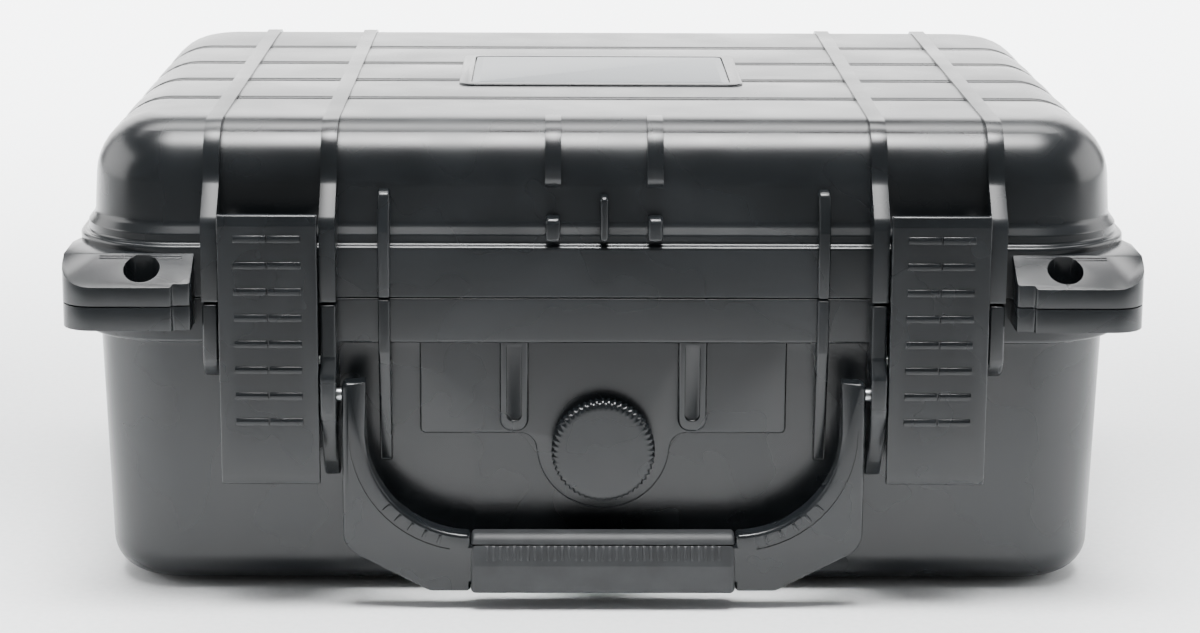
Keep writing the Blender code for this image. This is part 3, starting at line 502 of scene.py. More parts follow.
def lidTab():
    slopeTop, slopeLow = (Vector((0, *point)) for point in lid["tabSlope"])
    bm = extruded(tabPlan(), "z", rimZ + 0.1, slopeTop.z)
    along = slopeLow - slopeTop
    cut = bmesh.ops.bisect_plane(bm, geom=bm.verts[:] + bm.edges[:] + bm.faces[:], dist=0.001,
                                 plane_co=slopeTop, plane_no=Vector((0, along.z, -along.y)),
                                 clear_outer=True)
    if not [edge for edge in onlyEdges(cut["geom_cut"]) if edge.is_boundary]:
        raise RuntimeError("the tab's slope missed it")
    bmesh.ops.holes_fill(bm, edges=[edge for edge in bm.edges if edge.is_boundary], sides=0)
    bmesh.ops.recalc_face_normals(bm, faces=bm.faces)
    bevelSharp(bm, 1.1, 3)
    return bm


def lidHoop(centreX):
    # one guard rib: up the front, over the top and down the back
    z = lid["ledgeZ"]
    outline = roundedPath([
        (-146, rimZ + 0.2), (-159, rimZ + 0.2, 1.0), (-159, partingZ + 31, 7), (-144.2, partingZ + 46, 9),
        (-144.2, topZ, 17), (142.6, topZ, 21), (142.6, z + 1.0, 1.5), (137.8, z + 1.0),
        (137.8, topZ - 2.2, 21.5), (-137.8, topZ - 2.2, 21.5), (-137.8, z - 1), (-146, z - 5)])
    half = case["guardWide"] / 2
    return extruded(outline, "x", centreX - half, centreX + half, lid["edge"])


def shoulderPost(centreX, wide):
    # a short rib over the front shoulder only
    outline = roundedPath([(-139.2, topZ - 26), (-144.2, topZ - 22, 4), (-144.2, topZ, 17),
                           (-118, topZ, 1.2), (-118, topZ - 2.2), (-137.6, topZ - 2.2, 21.5)])
    return extruded(outline, "x", centreX - wide / 2, centreX + wide / 2, lid["edge"])


def ledgeStud(centreX, wide, high, topRadius):
    z = lid["ledgeZ"]
    outline = roundedPath([(-138.5, z - 2), (-149.4, z - 2, 1.2), (-149.4, z + high, topRadius),
                           (-138.5, z + high)])
    return extruded(outline, "x", centreX - wide / 2, centreX + wide / 2, wide * 0.38, 4)


def lidThinRib():
    z = lid["ledgeZ"]
    outline = roundedPath([(-146, rimZ + 0.2), (-150.6, rimZ + 0.2, 0.8), (-150.6, z + 2, 4),
                           (-145.5, z + 16, 3), (-139, z + 17.5), (-139, z - 1), (-146, z - 5)])
    half = case["thinWide"] / 2
    return extruded(outline, "x", case["thinX"] - half, case["thinX"] + half, 1.1)


def knuckle(side, place):
    # one hinge barrel with its web; side is 1 for the lid's and -1 for the base's
    centreX, width, radius = 110.0, 12.0, 6.5
    low = centreX - 30 + place * width + 0.35
    barrel = arcPoints((hinge.y, hinge.z), radius, side * 90, side * -180, 24)
    webY = case["coreY"] + case["flange"] - 1.5
    outline = [(webY, hinge.z + side * radius)] + barrel + [(hinge.y - radius, hinge.z + side * 0.7),
                                                            (webY, hinge.z + side * 0.7)]
    return extruded(outline, "x", low, low + width - 0.7, 0.55)


def hingeBore():
    return rodAlongX((110.0, hinge.y, hinge.z), 2.4, 54)


def padlockCutter():
    # a plain hole, countersunk from below
    x, y, radius = lid["padlock"]
    path = [(0, -40), (radius + 1, -40), (radius + 1, -9.0), (radius, -8.0), (radius, 40), (0, 40)]
    return lathed(path, Matrix.Translation((x, y, partingZ)), 48)


def lidShell():
    z, flangeZ = lid["ledgeZ"], lid["flangeZ"]
    clear, deep = case["grooveClear"], case["grooveDeep"]
    grooveOut, grooveIn = case["tongueOutside"] + clear, case["tongueInside"] - clear
    bandZ = topZ - lid["bandDrop"]
    ceilingZ = topZ - case["wall"]
    section = roundedPath([
        (3, bandZ), (lid["topWall"], bandZ, lid["shoulderRadius"]), (lid["lowWall"] - 0.2, z + 3.2, 4),
        (lid["ledge"], z - 0.2, 1.2), (lid["ledge"], flangeZ, 1.3), (case["flange"], flangeZ, 1.5),
        (case["flange"], rimZ, 0.5), (grooveOut, rimZ, 0.3), (grooveOut, rimZ + deep, 0.5),
        (grooveIn, rimZ + deep, 0.5), (grooveIn, rimZ, 0.3),
        (case["cavity"], rimZ, 0.5), (case["cavity"] - 1, ceilingZ, lid["ceilingRadius"]), (3, ceilingZ)],
        closed=False, degreesPerStep=9)
    bm = sweptShell(section)
    pressBands(bm, z + 1, topZ)

    hoops = [bothSides(lambda x=x: lidHoop(x)) for x in case["guardX"]]
    posts = bothSides(lambda: shoulderPost(case["studX"], 6.0))
    studs = bothSides(lambda: ledgeStud(case["studX"], 5.6, 7.0, 2.6))
    thin = bothSides(lidThinRib)
    tabs = bothSides(lidTab)
    knuckles = bothSides(lambda: joined(knuckle(1, 1), knuckle(1, 3)))
    padX, padY = lid["pad"]
    pad = extruded(roundedBox((-padX, -padY), (padX, padY), 6), "z", topZ - 2.4, topZ, 0.7)
    slopeLines = bothSides(tabLines)
    recessX, recessY = lid["recess"]
    recess = extruded(roundedBox((-recessX, -recessY), (recessX, recessY), 3.5), "z",
                      topZ - lid["recessDeep"], topZ + 4)
    added = joined(*hoops, posts, studs, ledgeStud(0, 3.2, 15.0, 1.8), thin, tabs, knuckles, pad)
    return combined(bm, ("UNION", added), ("UNION", slopeLines),
                    ("DIFFERENCE", joined(bothSides(hingeBore), bothSides(padlockCutter), recess)))


def tabLines():
    # two fine moulded lines across the top of the tab's slope
    top, low = (Vector((0, *point)) for point in lid["tabSlope"])
    along = (low - top).normalized()
    lines = []
    for step in (1.3, 2.7):
        centre = top + along * step + Vector((174.0, 0.12, -0.22))
        lines.append(rodAlongX(centre, 0.5, 31, 0.3, 12))
    return joined(*lines)


makePiece("lidShell", lidShell(), shellPlastic, "lid", ["lid_shell"])
print("lid shell made")


# the base's shell

base = {
    "highWall": 33.5, "lowWall": 30.5, "edgeRadius": 13.0, "floorRadius": 9.0,
    "flangeZ": partingZ - 17.6, "edge": 1.6, "tabDeep": 9.0,
    "panelY": jointPlace["valve_turn"].y, "panelHalf": 70.0, "panelLowZ": jointPlace["valve_turn"].z + 4.5,
    "lobeRadius": 25.5, "valveRibX": 34.0, "valveRibWide": 11.0,
}
valve = jointPlace["valve_turn"]
handlePivot = jointPlace["handle_fold"]


def baseTab():
    return extruded(tabPlan(), "z", partingZ - base["tabDeep"], partingZ - 0.1, 1.1)


def baseGuard(centreX, inner):
    high, low = partingZ - 0.2, handlePivot.z - 35
    if inner:
        tail = [(-159, handlePivot.z + 14, 3), (-163.6, handlePivot.z + 8, 4),
                (-163.6, handlePivot.z - 7, 5), (-151, low + 7, 6), (-145, low, 3), (-138.2, low)]
    else:
        foot = partingZ - 29
        tail = [(-159, foot + 6, 5), (-153, foot, 4), (-138.8, foot)]
    outline = roundedPath([(-145.5, high), (-159, high, 1.0)] + tail + [(-138.4, base["flangeZ"] + 1),
                                                                      (-145.5, base["flangeZ"] + 5)])
    half = case["guardWide"] / 2
    return extruded(outline, "x", centreX - half, centreX + half, base["edge"])


def baseThinRib():
    z = base["flangeZ"]
    outline = roundedPath([(-145.5, partingZ - 0.2), (-150.6, partingZ - 0.2, 0.8), (-150.6, z - 3, 4),
                           (-143.4, 54, 2), (-138.4, 52.5), (-138.6, z + 1), (-145.5, z + 5)])
    half = case["thinWide"] / 2
    return extruded(outline, "x", case["thinX"] - half, case["thinX"] + half, 1.1)


def valvePanel():
    # a raised panel under the rim, dropping round the valve
    half, low, high = base["panelHalf"], base["panelLowZ"], base["flangeZ"] + 1.5
    radius, start = base["lobeRadius"], -8
    tilt = math.radians(start)
    # where the lobe's side meets the panel's lower edge
    neck = (radius - (low - valve.z) * math.sin(tilt)) / math.cos(tilt)
    lobe = arcPoints((0, valve.z), radius, start, -180 - start, 40)
    outline = roundedPath([(half, high), (half, low, 2), (neck, low, 6)] + lobe +
                          [(-neck, low, 6), (-half, low, 2), (-half, high)])
    return extruded(outline, "y", base["panelY"], -138.4, 0.8)


def valveRib():
    # a broad upright rib with a round lower end, standing on the panel
    x, half = base["valveRibX"], base["valveRibWide"] / 2
    high, low = base["flangeZ"] + 1.5, base["panelLowZ"] + 1.5
    outline = roundedPath([(x - half, high), (x - half, low, 4.6), (x + half, low, 4.6), (x + half, high)])
    return extruded(outline, "y", -146.6, -140.5, 1.3)


def valveRibGroove():
    # the hollow between the two edges of each broad rib
    x, half = base["valveRibX"], base["valveRibWide"] / 2 - 2.6
    high, low = base["flangeZ"] - 1.0, base["panelLowZ"] + 5.5
    outline = roundedPath([(x - half, high, 1), (x - half, low, 2.5), (x + half, low, 2.5),
                           (x + half, high, 1)])
    return extruded(outline, "y", -150, -145.2, 0.4)


def baseShell():
    z, low = base["flangeZ"], undersideZ
    floorZ = low + case["wall"]
    section = roundedPath([
        (3, low), (base["lowWall"], low, base["edgeRadius"]), (base["highWall"], z, 1.4),
        (case["flange"], z, 1.5), (case["flange"], partingZ, 0.7), (case["tongueOutside"], partingZ, 0.3),
        (case["tongueOutside"], partingZ + case["tongueHigh"], 0.6),
        (case["tongueInside"], partingZ + case["tongueHigh"], 0.6), (case["tongueInside"], partingZ, 0.3),
        (case["cavity"], partingZ, 0.6), (25, floorZ, base["floorRadius"]), (3, floorZ)],
        closed=False, degreesPerStep=9)
    bm = sweptShell(section)
    pressBands(bm, low + base["edgeRadius"] - 2, z - 1.5)

    guards = joined(bothSides(lambda: baseGuard(case["guardX"][0], True)),
                    bothSides(lambda: baseGuard(case["guardX"][1], False)))
    added = joined(guards, bothSides(baseThinRib), bothSides(baseTab), valvePanel(),
                   bothSides(lambda: joined(knuckle(-1, 0), knuckle(-1, 2), knuckle(-1, 4))))

    pivot = jointPlace["latch_right_link_pivot"]
    linkBores = bothSides(lambda: rodAlongX((pivot.x, pivot.y, pivot.z), 2.0, 48))
    handleBores = bothSides(lambda: rodAlongX((100.0, handlePivot.y, handlePivot.z), 2.9, 10))
    outward = Matrix.Translation((0, -139, valve.z)) @ Matrix.Rotation(math.pi / 2, 4, "X")
    valveBore = lathed([(0, -15), (8.3, -15), (8.3, 15), (0, 15)], outward)
    holes = joined(bothSides(hingeBore), bothSides(padlockCutter), linkBores, handleBores, valveBore,
                   bothSides(valveRibGroove))
    return combined(bm, ("UNION", added), ("UNION", bothSides(valveRib)), ("DIFFERENCE", holes))


makePiece("baseShell", baseShell(), shellPlastic, "base", ["base_shell"])
print("base shell made")


# seal, label and feet

def gasket():
    inset = 0.3
    low, high = nodeBox("lid_gasket")[0].z, nodeBox("lid_gasket")[1].z
    outside = case["tongueOutside"] + case["grooveClear"] - inset
    inside = case["tongueInside"] - case["grooveClear"] + inset
    section = roundedPath([(inside, low, 0.8), (outside, low, 0.8), (outside, high, 0.3),
                           (inside, high, 0.3)])
    return sweptShell(section, closed=True)


makePiece("lidGasket", gasket(), sealRubber, "lid", ["lid_gasket"])


def labelBlank():
    low, high = nodeBox("label_plate")
    bm = extruded(roundedBox(low, high, 3.0), "z", low.z, high.z - 0.15, 0.25, 2)
    rim = [face for face in bm.faces if face.normal.z > 0.99 and face.calc_area() > 100]
    bmesh.ops.inset_region(bm, faces=rim, thickness=2.2, depth=0)
    bmesh.ops.inset_region(bm, faces=rim, thickness=0.5, depth=0.15)
    return bm


makePiece("labelPlate", labelBlank(), labelPlastic, "lid", ["label_plate"])


def foot(nodeName):
    low, high = nodeBox(nodeName)
    radius = (high.x - low.x) / 2
    centre = ((low.x + high.x) / 2, (low.y + high.y) / 2, 0)
    path = roundedPath([(0, high.z), (radius, high.z, 0.3), (radius, low.z, 0.9), (radius - 3, low.z, 0.3),
                        (radius - 3.6, low.z + 0.5, 0.3), (0, low.z + 0.5)], closed=False)
    return lathed(path, Matrix.Translation(centre), 48)


for end in ("front", "rear"):
    for side in ("left", "right"):
        footNode = f"foot_{end}_{side}"
        footName = f"foot{end.title()}{side.title()}"
        makePiece(footName, foot(footNode), sealRubber, "base", [footNode])
print("seal, label and feet made")


# foam

foamPiece = {
    "waveDeep": 11.0, "wavePitch": 31.0, "waveStep": 2.6, "waveFade": 14,
    "pocketRadius": 10.0, "pocketMargin": (5.9, 6.0), "batteryMargin": (4.9, 5.0),
    "reliefHalf": 18.0, "reliefY": -124.0,
}
pocketNames = ("drone_pocket", "controller_pocket", "charger_pocket", "battery_one_pocket",
               "battery_two_pocket", "battery_three_pocket")


def roundedBlock(nodeName, coreX, coreY, lowRadius, highRadius, taper=1.0):
    low, high = nodeBox(nodeName)
    outer = high.x - coreX
    section = roundedPath([(2, low.z), (outer - taper, low.z, lowRadius), (outer, high.z, highRadius),
                           (2, high.z)], closed=False, degreesPerStep=15)
    return sweptShell(section, coreX=coreX, coreY=high.y - outer, steps=10)


def foamTray():
    bm = roundedBlock("base_foam_tray", case["coreX"], case["coreY"], 1.5, 2.0, 2.0)
    openings = {opening["name"]: opening["box_m"] for opening in frame["record"]["physics"]["openings"]}
    cutters = []
    for name in pocketNames:
        low, high = (Vector(corner) / mm for corner in openings[name])
        across, along = foamPiece["batteryMargin" if "battery" in name else "pocketMargin"]
        outline = roundedBox((low.x - across, low.y - along), (high.x + across, high.y + along),
                             foamPiece["pocketRadius"])
        cutters.append(extruded(outline, "z", low.z - 3.9, high.z + 4, 1.2))
    # room for the valve's stem and nut
    half = foamPiece["reliefHalf"]
    relief = extruded(roundedPath([(half, valve.z - half, 4), (half, valve.z + half, 4),
                                   (-half, valve.z + half, 4), (-half, valve.z - half, 4)]),
                      "y", -146, foamPiece["reliefY"])
    return combined(bm, ("DIFFERENCE", joined(*cutters)), ("DIFFERENCE", relief))


def foamPad():
    return roundedBlock("base_foam_pad", case["coreX"], case["coreY"], 8.0, 1.5, 1.0)


def foamLid():
    # a pressed sheet in the lid, with an egg-crate lower face
    low, high = nodeBox("lid_foam")
    outer = high.x - case["coreX"]
    section = roundedPath([(2, low.z), (outer, low.z, 3), (outer - 0.6, high.z, 20), (2, high.z)],
                          closed=False, degreesPerStep=12)
    bm = sweptShell(section, steps=10)
    bm.normal_update()
    step, reachX, reachY = foamPiece["waveStep"], case["coreX"] + 2, case["coreY"] + 2
    for axis, reach in (("x", reachX), ("y", reachY)):
        normal = Vector((axis == "x", axis == "y", 0))
        for index in range(-int(reach / step), int(reach / step) + 1):
            faces = [face for face in bm.faces
                     if face.normal.z < -0.99 and face.calc_center_median().z < low.z + 0.1]
            edges = list({edge for face in faces for edge in face.edges})
            verts = list({vert for face in faces for vert in face.verts})
            bmesh.ops.bisect_plane(bm, geom=verts + edges + faces, dist=0.001,
                                   plane_co=normal * (index * step), plane_no=normal)
    pitch, deep = foamPiece["wavePitch"], foamPiece["waveDeep"]
    for vert in bm.verts:
        if vert.co.z > low.z + 0.05:
            continue
        edgeX, edgeY = reachX - abs(vert.co.x), reachY - abs(vert.co.y)
        fade = min(1, max(0, min(edgeX, edgeY) / foamPiece["waveFade"]))
        wave = 0.5 + 0.5 * math.cos(math.tau * vert.co.x / pitch) * math.cos(math.tau * vert.co.y / pitch)
        vert.co.z += deep * (1 - wave) * fade * fade * (3 - 2 * fade)
    return bm


for name, bm, body, nodeName in (("foamTray", foamTray(), "base", "base_foam_tray"),
                                 ("foamPad", foamPad(), "base", "base_foam_pad"),
                                 ("foamLid", foamLid(), "lid", "lid_foam")):
    makePiece(name, bm, foam, body, [nodeName], 50)
print("foam made")


# latches

latch = {
    "half": 18.5, "back": 11.0, "front": 15.0, "cheek": (14.2, 18.0),
    "bars": 8, "barPitch": 10.0, "barHalf": 12.5, "barGap": 0.35, "barHigh": 2.6, "barProud": 0.9,
    "firstBar": 7.5, "boreRadius": 2.0, "strapHalf": 13.5, "footHalf": 18.0, "clear": 0.4,
}
flangeFace = -(case["coreY"] + case["flange"])      # the rim's front face


def leverSolid(side):
    pivot = jointPlace[f"latch_{side}_lever_pivot"]
    box = nodeBox(f"latch_{side}_lever")
    lowZ, highZ = box[0].z, box[1].z
    front, back = flangeFace - latch["front"], flangeFace - latch["back"]
    profile = roundedPath([(back, lowZ, 0.8), (front + 0.9, lowZ, 1.2), (front, lowZ + 4, 4),
                           (front, highZ - 4, 3), (front + 0.7, highZ, 0.9), (back, highZ, 0.6)])
    panel = extruded(profile, "x", pivot.x - latch["half"], pivot.x + latch["half"], 1.0)
    cheekOutline = roundedPath([(back - 1, pivot.z - 13), (flangeFace - 3.4, pivot.z - 4, 3),
                                (flangeFace - 3.4, pivot.z + 2, 3), (flangeFace - 6, pivot.z + 5, 2),
                                (back - 1, pivot.z + 10)])
    inner, outer = latch["cheek"]
    cheeks = [extruded(cheekOutline, "x", pivot.x + low, pivot.x + high, 0.5)
              for low, high in ((-outer, -inner), (inner, outer))]
    bars = []
    for index in range(latch["bars"]):
        top = highZ - latch["firstBar"] - index * latch["barPitch"]
        outline = roundedPath([(front + 0.6, top + 0.2), (front - latch["barProud"] * 0.5, top, 0.3),
                               (front - latch["barProud"], top - 1.1, 0.5),
                               (front - latch["barProud"], top - latch["barHigh"], 0.15),
                               (front + 0.6, top - latch["barHigh"] - 0.1)], degreesPerStep=30)
        for half in (-1, 1):
            ends = sorted((pivot.x + half * latch["barGap"], pivot.x + half * latch["barHalf"]))
            bars.append(extruded(outline, "x", *ends, 0.25, 2))
    bore = rodAlongX(pivot, latch["boreRadius"], 35.4)
    return combined(panel, ("UNION", joined(*cheeks)), ("UNION", joined(*bars)), ("DIFFERENCE", bore))


def linkSolid(side):
    lower = jointPlace[f"latch_{side}_link_pivot"]
    upper = jointPlace[f"latch_{side}_lever_pivot"]
    face = flangeFace - latch["clear"]
    front = face - 8
    footOutline = [(face, lower.z - 4, 1.5), (front + 1, lower.z - 4, 2), (front, lower.z, 2)]
    neckZ, heelZ = partingZ + 4, partingZ - 12
    head = [(upper.y - 3.4, upper.z, 1), (upper.y - 3.4, upper.z + 3.2, 3),
            (upper.y + 2.4, upper.z + 3.2, 2)]
    hook = [(face, upper.z + 1.4, 0.8), (face, upper.z - 1.6, 0.6), (face - 3, upper.z - 1.6, 0.6)]
    strapOutline = footOutline + [(front, neckZ, 3)] + head + hook + [(face - 3, neckZ, 2), (face, heelZ, 2)]
    strap = extruded(roundedPath(strapOutline), "x", lower.x - latch["strapHalf"],
                     lower.x + latch["strapHalf"], 0.6)
    footOutline += [(front, partingZ - 2, 1.5), (face - 2, partingZ - 2, 1), (face, heelZ, 2)]
    foot = extruded(roundedPath(footOutline), "x", lower.x - latch["footHalf"],
                    lower.x + latch["footHalf"], 0.6)
    bores = joined(rodAlongX(lower, latch["boreRadius"], 60), rodAlongX(upper, latch["boreRadius"], 60))
    return combined(strap, ("UNION", foot), ("DIFFERENCE", bores))


for side in ("left", "right"):
    for part, solid in (("lever", leverSolid), ("link", linkSolid)):
        latchNode = f"latch_{side}_{part}"
        latchName = f"latch{part.title()}{side.title()}"
        makePiece(latchName, solid(side), nylon, latchNode, [latchNode])
print("latches made")


# handle

handle = {
    "half": 98.7, "arm": 9.0, "thick": 9.0,
    "gripHalf": 50.5, "gripHigh": 23.0, "gripThick": 15.0, "coreInset": 4.0,
    "gripLines": 35, "linePitch": 2.6,
    "lineInset": 5.6, "lineWide": 0.8, "cornerRibs": 5,
}


def handleFrameSolid():
    lowZ = nodeBox("handle_grip")[0].z
    innerX = handle["half"] - handle["arm"]
    bend = innerX - handle["gripHalf"]
    gripHigh = lowZ + handle["gripHigh"]
    back, front = handlePivot.y + handle["thick"] / 2, handlePivot.y - handle["thick"] / 2
    highZ = handlePivot.z + 5.5
    right = [(innerX, highZ, 2.5), (handle["half"], highZ, 2.5), (handle["half"], lowZ + 17.5, 9),
             (66, lowZ + 0.5, 6), (handle["gripHalf"], lowZ + 0.5),
             (handle["gripHalf"], lowZ + handle["coreInset"])]
    left = [(-corner[0], *corner[1:]) for corner in reversed(right)]
    outline = roundedPath(right + left)
    bendCentre = (handle["gripHalf"], gripHigh + bend)
    bendPoints = arcPoints(bendCentre, bend, -90, 0, 16)
    inner = [Vector((handle["gripHalf"], gripHigh - handle["coreInset"]))] + [Vector(p) for p in bendPoints]
    outline += [Vector((-p.x, p.y)) for p in reversed(inner)] + inner
    bm = extruded(outline, "y", front, back, 1.5, 4)
    bores = joined(*[rodAlongX((x, handlePivot.y, handlePivot.z), 2.9, 20) for x in (-95, 95)])

    def edgeLine():
        # a fine groove that follows the inside of the bend and runs up the arm
        near = bend + handle["lineInset"]
        far = near + handle["lineWide"]
        endZ = handlePivot.z - 13
        inside = arcPoints(bendCentre, near, -80, 0, 14) + [(handle["gripHalf"] + near, endZ)]
        outside = arcPoints(bendCentre, far, -80, 0, 14) + [(handle["gripHalf"] + far, endZ)]
        return extruded(inside + outside[::-1], "y", front - 1, front + 0.5)

    def cornerRibs():
        # short raised ribs across the inside of each lower corner
        ribs = []
        for index in range(handle["cornerRibs"]):
            angle = math.radians(-74 + index * 8)
            rib = extruded(roundedBox((-1.7, -0.6), (1.7, 0.6), 0.3), "y", -0.6, 0.8, 0.25, 2)
            reach = bend + 3.3
            place = Vector((bendCentre[0] + reach * math.cos(angle), front,
                            bendCentre[1] + reach * math.sin(angle)))
            turn = Matrix.Translation(place) @ Matrix.Rotation(-angle, 4, "Y")
            bmesh.ops.transform(rib, matrix=turn, verts=rib.verts)
            ribs.append(rib)
        return joined(*ribs)

    return combined(bm, ("DIFFERENCE", joined(bores, bothSides(edgeLine))),
                    ("UNION", bothSides(cornerRibs)))


def handleGripSolid():
    # a rubber sleeve with fine ribs on its sloping face
    low, high = nodeBox("handle_grip")
    midY = (low.y + high.y) / 2
    half = handle["gripThick"] / 2
    crease = low.z + 11.5
    section = roundedPath([(midY - half + 1, low.z, 2.5), (midY + half, low.z, 4), (midY + half, high.z, 5),
                           (midY - half + 4.2, high.z, 4.5), (midY - half, crease, 1.5)])
    end = handle["gripHalf"] - 0.3
    bm = extruded(section, "x", -end, end, 1.6, 4)
    inset, coreHalf = handle["coreInset"] - 0.3, handle["thick"] / 2 + 0.3
    core = extruded([(-60, low.z + inset), (60, low.z + inset), (60, high.z - inset), (-60, high.z - inset)],
                    "y", handlePivot.y - coreHalf, handlePivot.y + coreHalf)
    lines = []
    lower, upper = Vector((midY - half, crease)), Vector((midY - half + 4.2, high.z))
    along = (upper - lower).normalized()
    outward = Vector((-along.y, along.x))
    start, stop = lower + along * 2.0, upper - along * 4.4
    outline = [start - outward * 0.4, stop - outward * 0.4, stop + outward * 0.05,
               stop - along + outward * 0.38, start + along + outward * 0.38, start + outward * 0.05]
    for index in range(handle["gripLines"]):
        x = (index - handle["gripLines"] // 2) * handle["linePitch"]
        lines.append(extruded(outline, "x", x - 0.6, x + 0.6, 0.15, 2))
    return combined(bm, ("UNION", joined(*lines)), ("DIFFERENCE", core))


makePiece("handleFrame", handleFrameSolid(), nylon, "handle", ["handle_frame"])
makePiece("handleGrip", handleGripSolid(), gripRubber, "handle", ["handle_grip"])
print("handle made")


# pins

# each pin's node and the body it rides on
pinNodes = {
    "hinge_pin_left": "base", "hinge_pin_right": "base",
    "handle_pin_left": "base", "handle_pin_right": "base",
    "latch_left_base_pin": "base", "latch_right_base_pin": "base",
    "latch_left_lever_pin": "latch_left_link", "latch_right_lever_pin": "latch_right_link",
}
for nodeName, body in pinNodes.items():
    low, high = nodeBox(nodeName)
    words = nodeName.split("_")
    pinName = words[0] + "".join(word.title() for word in words[1:])
    pin = rodAlongX((low + high) / 2, (high.z - low.z) / 2, high.x - low.x, 0.4)
    makePiece(pinName, pin, pinSteel, body, [nodeName])
print("pins made")


# purge valve

valveOut = Matrix.Translation((0, valve.y, valve.z)) @ Matrix.Rotation(math.pi / 2, 4, "X")
knob = {
    "radius": 19.75, "low": 4.5, "high": 10.5, "teeth": 52, "toothDeep": 0.75,
    "stem": 4.0, "stemEnd": -14.0,
}


def knobSolid():
    # a low disc with a toothed edge and a stem
    radius, deep = knob["radius"], knob["toothDeep"]
    disc = bmesh.new()
    bmesh.ops.create_circle(disc, cap_ends=True, radius=radius, segments=knob["teeth"] * 4)
    for index, vert in enumerate(disc.verts):
        if index % 4 in (2, 3):
            vert.co *= (radius - deep) / radius
    bmesh.ops.translate(disc, verts=disc.verts, vec=(0, 0, knob["low"]))
    disc.faces.ensure_lookup_table()
    grown = bmesh.ops.extrude_face_region(disc, geom=disc.faces[:])["geom"]
    bmesh.ops.translate(disc, verts=onlyVerts(grown), vec=(0, 0, knob["high"] - knob["low"] - 1.2))
    top = [item for item in grown if isinstance(item, bmesh.types.BMFace)]
    for shrink, rise in ((0.975, 0.75), (0.93, 0.45), (0.88, 0.0)):
        grown = bmesh.ops.extrude_face_region(disc, geom=top)["geom"]
        bmesh.ops.delete(disc, geom=top, context="FACES")
        top = [item for item in grown if isinstance(item, bmesh.types.BMFace)]
        rim = onlyVerts(grown)
        bmesh.ops.translate(disc, verts=rim, vec=(0, 0, rise))
        for vert in rim:
            vert.co.x *= shrink if shrink == 0.975 else shrink / 0.975
            vert.co.y *= shrink if shrink == 0.975 else shrink / 0.975
    bmesh.ops.recalc_face_normals(disc, faces=disc.faces)
    stem = lathed([(0, knob["stemEnd"]), (knob["stem"], knob["stemEnd"]), (knob["stem"], knob["low"] + 1),
                   (0, knob["low"] + 1)], Matrix.Identity(4), 40)
    bm = combined(disc, ("UNION", stem))
    bmesh.ops.transform(bm, matrix=valveOut, verts=bm.verts)
    return bm


def valveBodySolid():
    bore, shank, collar, end = 4.4, 8.0, 15.0, -15.0
    path = roundedPath([(bore, end), (shank, end, 0.6), (shank, 0.3), (collar, 0.3, 0.3),
                        (collar, 2.3, 0.9), (bore, 2.3, 0.3), (bore, end)], closed=False)
    return lathed(path, valveOut, 72)


def valveNutSolid():
    # a hexagon nut, with a bore that clears the shank
    low, high = -14.4, -10.4
    hexagon = arcPoints((0, 0), 12.0, 0, 300, 5)
    nut = extruded(hexagon, "z", low, high, 0.5)
    bore = lathed([(0, low - 2), (8.3, low - 2), (8.3, high + 2), (0, high + 2)], Matrix.Identity(4), 48)
    bm = combined(nut, ("DIFFERENCE", bore))
    bmesh.ops.transform(bm, matrix=valveOut, verts=bm.verts)
    return bm


def valveRingSolid():
    ring = arcPoints((6.2, 3.4), 0.8, 0, 360, 20)
    return lathed(ring, valveOut, 72)


makePiece("valveKnob", knobSolid(), nylon, "valve_knob", ["valve_knob"])
makePiece("valveBody", valveBodySolid(), nylon, "base", ["valve_body"])
makePiece("valveNut", valveNutSolid(), nylon, "base", ["valve_nut"])
makePiece("valveRing", valveRingSolid(), sealRubber, "base", ["valve_oring"])
print("valve made")


# floor, light and camera

studio = {"floor": "#eef0f1", "floorLight": "#f6f7f8", "floorHalf": 40.0, "around": "#ffffff",
          "aroundStrength": 0.2}

# each light: middle, point it faces, width and depth in metres, brightness per square metre,
# and spread in degrees
softboxes = {
    "overheadBox": ((0.0, 1.9, 1.35), (0.0, 1.9, 0.0), (3.8, 3.2), 19.0, 90),
    "rearBox": ((0.0, 3.1, 1.0), (0.0, 0.0, 0.35), (5.0, 1.9), 14.0, 180),
    "leftBox": ((-2.2, 0.5, 0.75), (0.0, 0.4, 0.1), (2.4, 1.4), 6.0, 120),
    "rightBox": ((2.2, 0.5, 0.75), (0.0, 0.4, 0.1), (2.4, 1.4), 6.0, 120),
    "frontBox": ((0.0, -0.28, 0.9), (0.0, -0.28, 0.0), (1.7, 0.3), 13.0, 45),
}


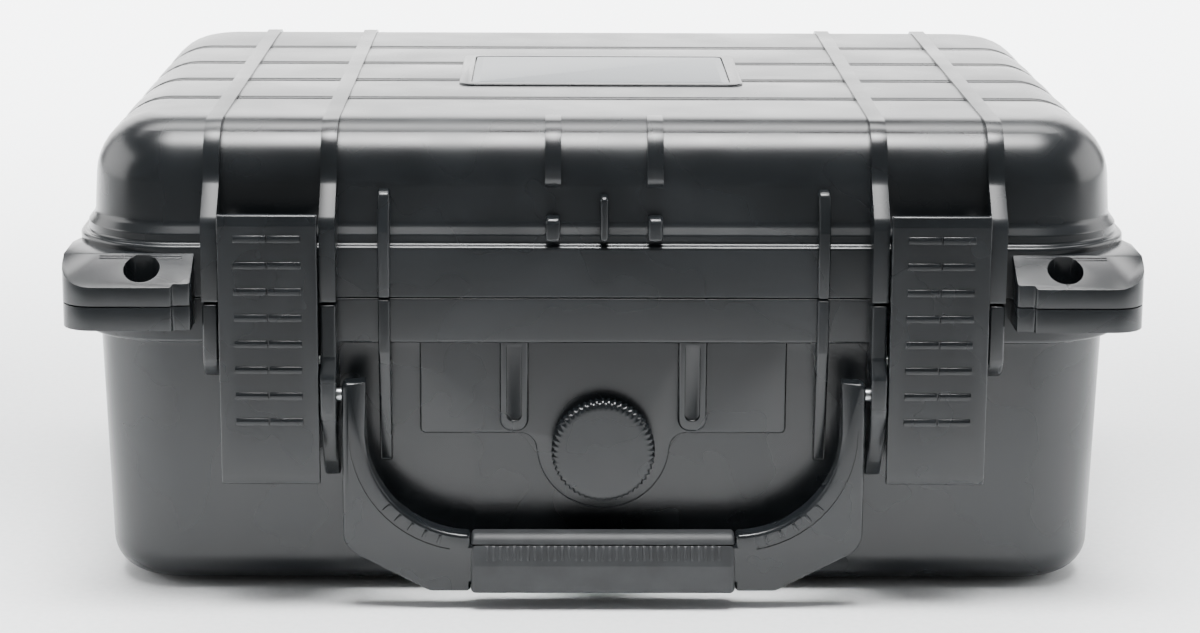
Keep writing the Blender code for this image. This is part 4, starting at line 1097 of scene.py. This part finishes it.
def paleFloor():
    # white backdrop paper, matt
    material, shader, place = startMaterial("white backdrop paper", Roughness=0.85, IOR=1.45)
    fibre = node(material, "ShaderNodeTexNoise", {"Scale": 1 / (3 * mm), "Detail": 4.0},
                 {"Vector": (place, "Object")})
    paper = ramp(material, fibre, "Fac", ((0.3, studio["floor"]), (0.7, studio["floorLight"])))
    link(material, paper, "Color", shader, "Base Color")
    bm = bmesh.new()
    bmesh.ops.create_grid(bm, x_segments=4, y_segments=4, size=studio["floorHalf"])
    mesh = bpy.data.meshes.new("floor")
    bm.to_mesh(mesh)
    bm.free()
    mesh.materials.append(material)
    floor = bpy.data.objects.new("floor", mesh)
    bpy.context.scene.collection.objects.link(floor)
    floor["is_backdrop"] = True


def softLight(name, place, aim, size, brightness, spread):
    light = bpy.data.lights.new(name, "AREA")
    light.shape = "RECTANGLE"
    light.size, light.size_y = size
    light.energy = brightness * size[0] * size[1]
    light.spread = math.radians(spread)
    lamp = bpy.data.objects.new(name, light)
    bpy.context.scene.collection.objects.link(lamp)
    lamp.location = place
    lamp.rotation_euler = (Vector(aim) - Vector(place)).to_track_quat("-Z", "Y").to_euler()


def studioLight():
    world = bpy.data.worlds.new("studio")
    bpy.context.scene.world = world
    world.use_nodes = True
    background = world.node_tree.nodes["Background"]
    background.inputs["Color"].default_value = colour(studio["around"])
    background.inputs["Strength"].default_value = studio["aroundStrength"]
    for name, settings in softboxes.items():
        softLight(name, *settings)


# metres and degrees
view = {
    "standOff": 1.097, "acrossBy": -0.017, "height": 0.370, "tilt": 13.06, "turn": -0.8, "roll": 0.3,
    "lens": 90.7, "sensor": 36.0,
}


def productCamera():
    data = bpy.data.cameras.new("camera")
    data.lens, data.sensor_width = view["lens"], view["sensor"]
    data.clip_start = 0.01
    camera = bpy.data.objects.new("camera", data)
    bpy.context.scene.collection.objects.link(camera)
    place = Matrix.Translation((view["acrossBy"], cadLow.y - view["standOff"], view["height"]))
    turn = Matrix.Rotation(math.radians(view["turn"]), 4, "Z")
    tilt = Matrix.Rotation(math.radians(90 - view["tilt"]), 4, "X")
    roll = Matrix.Rotation(math.radians(view["roll"]), 4, "Z")
    camera.matrix_world = place @ turn @ tilt @ roll
    bpy.context.scene.camera = camera


paleFloor()
studioLight()
productCamera()
print("floor, light and camera set")

low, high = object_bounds()
